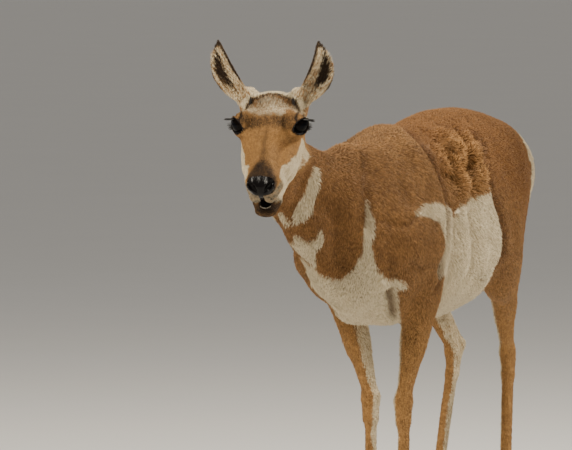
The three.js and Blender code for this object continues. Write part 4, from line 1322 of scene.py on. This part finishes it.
coatColours = {
    "deepBrown": (0.075, 0.036, 0.014),
    "brown": (0.385, 0.200, 0.077),
    "lightBrown": (0.480, 0.255, 0.088),
    "deepRich": (0.070, 0.029, 0.009),
    "rich": (0.350, 0.160, 0.050),
    "tan": (0.545, 0.292, 0.098),
    "deepTan": (0.085, 0.038, 0.013),
    "white": (0.720, 0.615, 0.425),
    "shadedWhite": (0.370, 0.280, 0.160),
    "black": (0.014, 0.008, 0.004),
    "brownBlack": (0.034, 0.016, 0.007),
    "nose": (0.004, 0.003, 0.003),
    "foldShadeTint": (0.24, 0.17, 0.13),  # painted shade in folds: what a fold leaves of the light
}
coatGrain = {  # scale, detail and roughness of a noise, and what of it counts as none and as all
    "broad": (9, 3, 0.5, 0.3, 0.7),
    "patchy": (42, 4, 0.6, 0.25, 0.75),
    "fine": (420, 3, 0.6, 0.2, 0.8),
    "flecks": (150, 3, 0.65, 0.3, 0.7),
}
coatGloss = {"rough": 0.66, "noseRough": 0.22, "onTufts": 0.16, "onSkin": 0.14, "pebbles": 520.0}


def coatFinish(name, onTufts):
    finish = Finish(name)
    colours = coatColours
    broad, patchy, fine, flecks = (finish.noise(scale, detail, roughness).ramp(low, high)
                                   for scale, detail, roughness, low, high in coatGrain.values())
    if onTufts:
        tone = finish.mask("tone")
        light = tone * 0.4 + patchy * 0.16 + flecks * 0.32 + fine * 0.22 + finish.mask("along") * 0.2 - 0.08
    else:
        tone = fine
        # on the skin between the tufts the colours run darker than on the tufts: painted shade under the
        # coat
        light = fine * 0.35 + patchy * 0.2 + flecks * 0.2
    brown = finish.mix(light, colours["deepBrown"], colours["brown"])
    brown = finish.mix((light - 0.45) * 1.2 * (0.5 + broad * 0.5), brown, colours["lightBrown"])
    rich = finish.mix(light, colours["deepRich"], colours["rich"])
    brown = finish.mix(finish.mask("rich"), brown, rich)
    tan = finish.mix(light + 0.1, colours["deepTan"], colours["tan"])
    white = finish.mix(light * 1.4 + 0.05, colours["shadedWhite"], colours["white"])
    black = finish.mix(tone * 0.6, colours["black"], colours["brownBlack"])
    ragged = (tone - 0.5) * 0.4 + (patchy - 0.5) * 0.16  # breaks the edges of the markings up
    colour = finish.mix(finish.mask("tan") * 0.85, brown, tan)
    colour = finish.mix((finish.mask("white") + ragged).ramp(0.3, 0.7), colour, white)
    colour = finish.mix((finish.mask("dark") + ragged * 1.2).ramp(0.15, 0.9), colour, black)
    # painted shade in the folds and hollows of the coat
    colour = finish.mix(finish.mask("fold") * 0.85, colour, colours["foldShadeTint"], "MULTIPLY")
    bare = finish.mask("bare").ramp(0.35, 0.65)
    colour = finish.mix(bare, colour, colours["nose"])
    roughness = coatGloss["rough"] - bare * (coatGloss["rough"] - coatGloss["noseRough"]) - fine * 0.08
    if onTufts:
        return finish.surface(colour, roughness, coatGloss["onTufts"])
    pebbles = finish.node("ShaderNodeTexVoronoi", {"feature": "SMOOTH_F1"},
                          {"Vector": finish.place, "Scale": coatGloss["pebbles"]})
    height = fine * (1 - bare) * 0.6 + pebbles.of("Distance") * bare * 0.5
    return finish.surface(colour, roughness, coatGloss["onSkin"], finish.bump(height, 0.0007, 0.7))


coatOnSkin = coatFinish("coatOnSkin", False)
coatOnTufts = coatFinish("coatOnTufts", True)


# the skin replaces every node of flesh, and each region of it has its own flat unwrap


def addPiece(name, mesh, *materials):
    piece = bpy.data.objects.new(name, mesh)
    bpy.context.scene.collection.objects.link(piece)
    for material in materials:
        mesh.materials.append(material)
    return piece


skin = addPiece("skin", skinMesh, coatOnSkin)
skinMesh.shade_smooth()


def unwrapRegions(piece):
    mesh = piece.data
    mesh.uv_layers.new(name="coatPlan")
    bpy.context.view_layer.objects.active = piece
    piece.select_set(True)
    bpy.ops.object.mode_set(mode="EDIT")
    for region in range(len(coatNames)):
        work = bmesh.from_edit_mesh(mesh)
        layer = work.faces.layers.int["coatPiece"]
        for face in work.faces:
            face.select_set(face[layer] == region)
        bmesh.update_edit_mesh(mesh)
        bpy.ops.uv.smart_project(angle_limit=1.25, island_margin=0.003)
    bpy.ops.object.mode_set(mode="OBJECT")
    piece.select_set(False)


unwrapRegions(skin)
print("skin unwrapped")


# the coat: flat lens-shaped tufts scattered on the skin, each laid along the lie of the hair
tuftShape = {
    "points": ((0, 0, -0.3), (-0.5, 0.42, 0), (0.5, 0.42, 0), (0, 0.45, 0.8), (0, 1, 0.1)),
    "faces": ((0, 2, 3), (2, 4, 3), (4, 1, 3), (1, 0, 3), (0, 1, 4), (0, 4, 2)),
}
coat = {
    "length": 1.0,
    "width": 1.0,
    "lift": 1.0,
    "many": 0.95,
    "stray": 0.15,
    "rumpledStray": 1.6,  # how much more they stray where the coat is rumpled
    "thick": 0.34,
    "lengths": (0.65, 1.25),  # how far single tufts vary
    "widths": (0.7, 1.3),
    "lifts": (0.55, 1.35),
    "patch": 0.003,  # size on the flat unwrap of the patch that one tuft covers
    "seed": 40,
}


def makeTuft():
    mesh = bpy.data.meshes.new("tuft")
    mesh.from_pydata(tuftShape["points"], [], tuftShape["faces"])
    onCorner = mesh.attributes.new("tuftUv", "FLOAT2", "CORNER")
    for loop in mesh.loops:
        across, along, _ = tuftShape["points"][loop.vertex_index]
        onCorner.data[loop.index].vector = (across, along - 0.5)
    store(mesh, "along", "FLOAT", "POINT", [point[1] for point in tuftShape["points"]])
    mesh.shade_smooth()
    return addPiece("tuft", mesh)


def coatTree():
    tree = bpy.data.node_groups.new("coatOfTufts", "GeometryNodeTree")
    sockets = {}
    for name, kind, value in (
            ("Skin", "Geometry", None), ("Region", "Int", 0), ("Seed", "Int", 7),
            ("Length", "Float", coat["length"]), ("Width", "Float", coat["width"]),
            ("Lift", "Float", coat["lift"]), ("How Many", "Float", coat["many"]),
            ("Stray", "Float", coat["stray"]), ("Tuft", "Object", None), ("Finish", "Material", None)):
        item = tree.interface.new_socket(name=name, in_out="INPUT", socket_type="NodeSocket" + kind)
        if value is not None:
            item.default_value = value
        sockets[name] = item.identifier
    tree.interface.new_socket(name="Coat", in_out="OUTPUT", socket_type="NodeSocketGeometry")
    graph = Graph(tree)
    asked = graph.node("NodeGroupInput")

    def named(name, kind="FLOAT"):
        return graph.node("GeometryNodeInputNamedAttribute", {"data_type": kind}, {"Name": name})

    def chance(low, high, seed, kind="FLOAT"):
        return graph.node("FunctionNodeRandomValue", {"data_type": kind},
                          {"Min": low, "Max": high, "Seed": asked.of("Seed") + seed})

    here = graph.node("FunctionNodeCompare", {"data_type": "INT", "operation": "EQUAL"},
                      {"A": named("coatPiece", "INT"), "B": asked.of("Region")})
    scatter = graph.node("GeometryNodeDistributePointsOnFaces", {"distribute_method": "RANDOM"},
                         {"Mesh": asked.of("Skin"), "Selection": here,
                          "Density": named("hairMany") * asked.of("How Many"), "Seed": asked.of("Seed")})
    normal = scatter.of("Normal")
    lifted = graph.scaled(normal, named("hairLift") * asked.of("Lift") * chance(*coat["lifts"], 1))
    way = graph.vector("ADD", named("lie", "FLOAT_VECTOR"), lifted)
    loose = asked.of("Stray") * (1 + named("rough") * coat["rumpledStray"])
    stray = graph.scaled(chance((-1, -1, -0.6), (1, 1, 1), 5, "FLOAT_VECTOR"), loose)
    way = graph.vector("NORMALIZE", graph.vector("ADD", way, stray))
    turned = graph.node("FunctionNodeAxesToRotation", {"primary_axis": "Y", "secondary_axis": "Z"},
                        {"Primary Axis": way, "Secondary Axis": normal})
    width = named("hairWide") * asked.of("Width") * chance(*coat["widths"], 2)
    length = named("hairLong") * asked.of("Length") * chance(*coat["lengths"], 3)
    size = graph.node("ShaderNodeCombineXYZ", None, {"X": width, "Y": length, "Z": width * coat["thick"]})
    tone = graph.node("GeometryNodeStoreNamedAttribute", {"data_type": "FLOAT", "domain": "POINT"},
                      {"Geometry": scatter, "Name": "tone", "Value": chance(0.0, 1.0, 4)})
    one = graph.node("GeometryNodeObjectInfo", {"transform_space": "ORIGINAL"}, {"Object": asked.of("Tuft")})
    planted = graph.node("GeometryNodeInstanceOnPoints", None,
                         {"Points": tone, "Instance": one.of("Geometry"), "Rotation": turned, "Scale": size})
    tufts = graph.node("GeometryNodeRealizeInstances", None, {"Geometry": planted})
    patch = graph.vector("ADD", named("coatPlan", "FLOAT_VECTOR"),
                         graph.scaled(named("tuftUv", "FLOAT_VECTOR"), coat["patch"]))
    tufts = graph.node("GeometryNodeStoreNamedAttribute", {"data_type": "FLOAT2", "domain": "CORNER"},
                       {"Geometry": tufts, "Name": "OFBake", "Value": patch})
    for name in ("hairLong", "hairWide", "hairLift", "hairMany", "lie", "rough", "tuftUv", "coatPlan"):
        tufts = graph.node("GeometryNodeRemoveAttribute", None, {"Geometry": tufts, "Name": name})
    coated = graph.node("GeometryNodeSetMaterial", None, {"Geometry": tufts, "Material": asked.of("Finish")})
    graph.node("NodeGroupOutput", None, {"Coat": coated})
    return tree, sockets


def growCoat():  # one piece of tufts for each region of the skin
    tree, sockets = coatTree()
    tuft = makeTuft()
    pieces, total = [], 0
    for region, name in enumerate(coatNames):
        piece = addPiece("coat" + name[0].upper() + name[1:], skinMesh)
        grow = piece.modifiers.new("tufts", "NODES")
        grow.node_group = tree
        grow[sockets["Region"]] = region
        grow[sockets["Seed"]] = coat["seed"] + 11 * region
        grow[sockets["Tuft"]] = tuft
        grow[sockets["Finish"]] = coatOnTufts
        depsgraph = bpy.context.evaluated_depsgraph_get()
        grown = bpy.data.meshes.new_from_object(
            piece.evaluated_get(depsgraph), preserve_all_data_layers=True, depsgraph=depsgraph)
        piece.modifiers.remove(grow)
        piece.data = grown
        grown.name = piece.name
        total += len(grown.polygons)
        print("  ", piece.name, len(grown.polygons) // len(tuftShape["faces"]), "tufts")
        pieces.append(piece)
    bpy.data.objects.remove(tuft)
    print("coat:", total, "triangles")
    return pieces


coatPieces = growCoat()


# eyes, lashes, horns, teeth


def ringFaces(count, sides):  # faces of a closed shape: a point, rings of points, a point
    faces = []
    for k in range(sides):
        following = (k + 1) % sides
        faces.append((0, 1 + following, 1 + k))
        for ring in range(count - 1):
            low, high = 1 + ring * sides, 1 + (ring + 1) * sides
            faces.append((low + k, low + following, high + following, high + k))
        last = 1 + (count - 1) * sides
        faces.append((last + k, last + following, 1 + count * sides))
    return faces


def ballPoints(rows, columns):  # the points of a ball, pole to pole, each with its angle from the first pole
    for row in range(rows + 1):
        polar = math.pi * row / rows
        for column in range(columns if 0 < row < rows else 1):
            turn = 2 * math.pi * column / columns
            yield polar, math.sin(polar) * math.cos(turn), math.sin(polar) * math.sin(turn), math.cos(polar)


def tube(path, radii, sides):  # a closed tube with a point at each end
    path = [Vector(p) for p in path]
    points = [path[0]]
    ahead = (path[-1] - path[0]).normalized()
    across = ahead.orthogonal().normalized()
    for middle, radius in zip(path[1:-1], radii[1:-1]):
        for k in range(sides):
            turn = 2 * math.pi * k / sides
            points.append(middle + radius * (math.cos(turn) * across + math.sin(turn) * ahead.cross(across)))
    points.append(path[-1])
    return points, ringFaces(len(path) - 2, sides)


def joined(name, parts, material):  # shapes in the head's frame made one piece, facing outwards
    points, faces = [], []
    for partPoints, partFaces in parts:
        start = len(points)
        points.extend(partPoints)
        faces.extend(tuple(index + start for index in face) for face in partFaces)
    world = (fromHead([tuple(p) for p in points]) + shift) * mm
    mesh = bpy.data.meshes.new(name)
    mesh.from_pydata(world.tolist(), [], faces)
    work = bmesh.new()
    work.from_mesh(mesh)
    bmesh.ops.recalc_face_normals(work, faces=work.faces)
    work.to_mesh(mesh)
    work.free()
    mesh.shade_smooth()
    return addPiece(name, mesh, material)


eyeball = {
    "rows": 28,
    "columns": 48,
    "iris": 48,  # degrees from the middle of the eye to the iris's edge
    "pupil": (0.42, 0.24),  # half sizes of the pupil, against the radius
    "dark": (0.002, 0.0012, 0.0009),
    "light": (0.004, 0.0025, 0.0016),
    "white": (0.002, 0.0016, 0.0014),  # what shows round the iris, near black too
    "pupilColour": (0.002, 0.002, 0.003),
}


def eyeFinish():
    finish = Finish("eyeball")
    streaks = finish.noise(700, 3, 0.6).ramp(0.3, 0.7)
    colour = finish.mix(streaks, eyeball["dark"], eyeball["light"])
    colour = finish.mix(finish.mask("iris").ramp(0.9, 1.1), colour, eyeball["white"])
    colour = finish.mix(finish.mask("pupil").ramp(1.1, 0.9), colour, eyeball["pupilColour"])
    return finish.surface(colour, 0.05 + streaks * 0.03, 0.06)


def makeEye(side, finish):
    gaze, slit, over = eyeAxes(side)
    middle = np.array(onSide(side, eye["place"]))
    points, iris, pupil = [], [], []
    for polar, a, b, c in ballPoints(eyeball["rows"], eyeball["columns"]):
        points.append(middle + eye["radius"] * (gaze * c + slit * a + over * b))
        iris.append(math.degrees(polar) / eyeball["iris"])
        outOfPupil = math.hypot(a / eyeball["pupil"][0], b / eyeball["pupil"][1])
        pupil.append(outOfPupil if c > 0 else 9.0)
    faces = ringFaces(eyeball["rows"] - 1, eyeball["columns"])
    made = joined("eyeLeft" if side > 0 else "eyeRight", [(points, faces)], finish)
    store(made.data, "iris", "FLOAT", "POINT", iris)
    store(made.data, "pupil", "FLOAT", "POINT", pupil)
    return made


lash = {
    "thick": {1: (0, 0.9, 0.85, 0.65, 0.35, 0), -1: (0, 0.5, 0.45, 0.35, 0.2, 0)},  # above, below
    "droop": {1: -0.42, -1: -0.1},
    "from": 0.3,  # they stand on the rear part of the lid
    "sides": 4,
    "dark": (0.004, 0.003, 0.003),
    "light": (0.014, 0.010, 0.008),
}


def lashes(side):  # two rows, thick above and thin below
    gaze, slit, over = eyeAxes(side)
    over = -over if over[2] < 0 else over
    backward = slit if slit[1] > 0 else -slit
    middle = np.array(onSide(side, eye["place"]))
    draw = np.random.default_rng(71 + side)
    rimFar = eye["radius"] + eye["lid"] - 0.4
    parts = []
    for row, count, fullLong in zip((1, -1), eye["lashes"], eye["lashLong"]):
        for n in range(count):
            t = lash["from"] + 0.68 * (n + 0.5) / count
            angle = math.radians(eye["slitWide"]) * 0.98 * t
            high = math.radians(eye["slitHigh"]) * (eye["upperLid"] if row > 0 else 1)
            rise = high * math.sqrt(max(0.0, 1 - t * t)) * row
            out = unit(gaze * math.cos(angle) * math.cos(rise)
                       + backward * math.sin(angle) + over * math.sin(rise))
            root = middle + out * (rimFar - 1.4)
            aside = np.array((side * 0.85, -0.12, lash["droop"][row]))
            fan = unit(0.45 * out + aside + draw.normal(size=3) * 0.09)
            long = fullLong * (0.7 + 0.4 * t) * draw.uniform(0.8, 1.1)
            path = [root + fan * long * k / 5 + over * row * long * (0.16 * (k / 5) ** 2 - 0.1 * k / 5)
                    for k in range(6)]
            parts.append(tube(path, lash["thick"][row], lash["sides"]))
    return parts


def lashFinish():
    finish = Finish("lash")
    shade = finish.noise(300, 2)
    return finish.surface(finish.mix(shade, lash["dark"], lash["light"]), 0.42 + shade * 0.1)


horn = {
    "root": (37, 42, 13),
    "lean": (0.1, 0.45, 0.88),
    "bow": (1.2, -1.6, 0),  # how far its middle bows outwards and forwards
    "long": 22.0,
    "radius": 3.6,
    "ridge": 0.035,
    "rings": 30,
    "sides": 20,
    "dark": (0.008, 0.006, 0.005),
    "light": (0.030, 0.020, 0.013),
}


def makeHorn(side, finish):
    lean = unit(onSide(side, horn["lean"]))
    root, bow = np.array(onSide(side, horn["root"])), np.array(onSide(side, horn["bow"]))
    path, radii = [], []
    for ring in range(horn["rings"] + 2):
        t = ring / (horn["rings"] + 1)
        path.append(root + lean * horn["long"] * t + bow * math.sin(math.pi * t))
        ridge = 1 + horn["ridge"] * math.sin(t * 46)
        radii.append(horn["radius"] * (1 - t ** 2.4) ** 0.62 * (1 - 0.22 * t) * ridge)
    return joined("hornLeft" if side > 0 else "hornRight", [tube(path, radii, horn["sides"])], finish)


def hornFinish():
    finish = Finish("hornSheath")
    grain = finish.noise(160, 4, 0.6, (1, 1, 4)).ramp(0.3, 0.75)
    colour = finish.mix(grain, horn["dark"], horn["light"])
    return finish.surface(colour, 0.5 + grain * 0.2, 0.25, finish.bump(grain, 0.0004))


teeth = {
    "count": 8,
    "arc": 11.0,
    "spread": 54,  # degrees to each side of the middle
    "place": (0, -123, -72.6),
    "size": (1.2, 0.8, 1.6),
    "clean": (0.32, 0.28, 0.21),
    "stained": (0.18, 0.13, 0.07),
}


def toothFinish():
    finish = Finish("enamel")
    stain = finish.noise(420, 3).ramp(0.35, 0.8)
    return finish.surface(finish.mix(stain, teeth["clean"], teeth["stained"]), 0.28 + stain * 0.2)


def makeTeeth(finish):
    parts = []
    across, through, high = teeth["size"]
    for n in range(teeth["count"]):
        turn = math.radians(teeth["spread"] * (2 * n / (teeth["count"] - 1) - 1))
        middle = np.array(teeth["place"]) + teeth["arc"] * np.array((math.sin(turn), -math.cos(turn), 0.0))
        wide = np.array((math.cos(turn), math.sin(turn), 0))
        deep = np.array((math.sin(turn), -math.cos(turn), 0.25))
        points = []
        for _, x, y, z in ballPoints(6, 10):
            blade = 1 - 0.35 * z * (z > 0)  # thinner towards its edge
            up = np.array((0, 0, z * high * 0.8))
            points.append(middle + wide * x * across + deep * y * through * blade + up)
        parts.append((points, ringFaces(5, 10)))
    return joined("teethLower", parts, finish)


hoof = {"dark": (0.010, 0.009, 0.008), "light": (0.038, 0.030, 0.024), "edge": 0.0012}


def hoofFinish():
    finish = Finish("hoofHorn")
    growth = finish.noise(90, 4, 0.6, (0.4, 0.4, 5)).ramp(0.3, 0.75)
    wear = finish.noise(240, 4, 0.65)
    height = growth * 0.7 + wear * 0.4
    colour = finish.mix(growth, hoof["dark"], hoof["light"])
    return finish.surface(colour, 0.3 + wear * 0.35, 0.5, finish.bump(height, 0.0005))


def dressHooves(finish):  # the CAD's own hooves, their edges rounded
    for name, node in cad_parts.items():
        if not name.startswith("hoof"):
            continue
        for slot in node.material_slots:
            slot.material = finish
        rounding = node.modifiers.new("rounding", "BEVEL")
        rounding.width = hoof["edge"]
        rounding.segments = 2


onEyes, onHorns = eyeFinish(), hornFinish()
eyes = [makeEye(side, onEyes) for side in (1, -1)]
lashPiece = joined("lashes", lashes(1) + lashes(-1), lashFinish())
horns = [makeHorn(side, onHorns) for side in (1, -1)]
frontTeeth = makeTeeth(toothFinish())
dressHooves(hoofFinish())
print("eyes, lashes, horns, teeth and hooves made")


# what stands for which CAD nodes

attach(skin, "root")
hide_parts("trunk", "neck", "tail", "head", "ear_left", "ear_right",
            "leg_fore_left", "leg_fore_right", "leg_hind_left", "leg_hind_right")
for piece in coatPieces:
    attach(piece, "root")
for piece, node, slot in ((eyes[0], "eye_left", "eye"), (eyes[1], "eye_right", "eye"),
                          (horns[0], "horn_left", "horn"), (horns[1], "horn_right", "horn"),
                          (frontTeeth, "teeth_lower", "teeth")):
    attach(piece, "root")
    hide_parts(node)
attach(lashPiece, "root")


# floor, light and camera

studio = {
    "floor": (0.74, 0.73, 0.71),
    "floorWide": 70.0,
    "sky": (1.0, 0.96, 0.9),
    "skyStrength": 0.36,
    "aim": (0.0, -0.1, 0.6),
    "lights": [  # turn from the camera's, height, distance, size, watts, colour
        (-44, 40, 4.2, 1.4, 190, (1.0, 0.93, 0.8)),
        (100, 42, 4.2, 0.8, 225, (1.0, 0.94, 0.82)),
        (190, 58, 4.4, 1.4, 75, (1.0, 0.88, 0.7)),
    ],
}
view = {
    "turn": 23.0,
    "rise": 3.5,
    "distance": 15000.0,
    "focus": 7950.0,  # this and the next two in pixels
    "image": (572, 450),
    "centre": (423, 582),  # the column of her origin and the row of the point on the ground
    "ground": (0, -200, 0),  # that point, in millimetres
}


def awayFrom(turn, rise):
    turn, rise = math.radians(turn), math.radians(rise)
    return Vector((math.sin(turn) * math.cos(rise), -math.cos(turn) * math.cos(rise), math.sin(rise)))


def floorDisc():
    finish = Finish("paleFloor")
    mottle = finish.noise(3, 3)
    colour = finish.mix(mottle, studio["floor"], tuple(v * 0.97 for v in studio["floor"]))
    sides, reach = 96, studio["floorWide"]
    turns = [2 * math.pi * k / sides for k in range(sides)]
    mesh = bpy.data.meshes.new("floor")
    mesh.from_pydata([(reach * math.cos(turn), reach * math.sin(turn), 0) for turn in turns], [],
                     [tuple(range(sides))])
    material = finish.surface(colour, 0.75 + mottle * 0.1)
    addPiece("floor", mesh, material)


def lights():
    world = bpy.data.worlds.new("studio")
    world.use_nodes = True
    sky = world.node_tree.nodes["Background"]
    sky.inputs["Color"].default_value = (*studio["sky"], 1)
    sky.inputs["Strength"].default_value = studio["skyStrength"]
    bpy.context.scene.world = world
    for index, (turn, rise, far, size, watts, colour) in enumerate(studio["lights"]):
        away = awayFrom(turn + view["turn"], rise)
        data = bpy.data.lights.new(f"softbox{index}", "AREA")
        data.shape, data.size, data.energy, data.color = "DISK", size, watts, colour
        lamp = bpy.data.objects.new(data.name, data)
        lamp.location = Vector(studio["aim"]) + away * far
        lamp.rotation_euler = (-away).to_track_quat("-Z", "Y").to_euler()
        bpy.context.scene.collection.objects.link(lamp)


def camera():
    turn = math.radians(view["turn"])
    back = awayFrom(view["turn"], view["rise"])
    right = Vector((math.cos(turn), math.sin(turn), 0))
    up = back.cross(right)
    scale = view["focus"] / view["distance"]  # pixels to the millimetre
    wide, high = view["image"]
    column, row = view["centre"]
    target = right * ((wide / 2 - column) / scale) + up * ((row - high / 2) / scale)
    target = target + up * Vector(view["ground"]).dot(up)
    data = bpy.data.cameras.new("camera")
    data.sensor_width = 36
    data.lens = view["focus"] * data.sensor_width / wide
    data.clip_end = 100
    shot = bpy.data.objects.new("camera", data)
    shot.location = (target + back * view["distance"] + Vector(shift)) * mm
    shot.rotation_euler = (-back).to_track_quat("-Z", "Y").to_euler()
    bpy.context.scene.collection.objects.link(shot)
    bpy.context.scene.camera = shot


floorDisc()
lights()
camera()
print("studio ready")
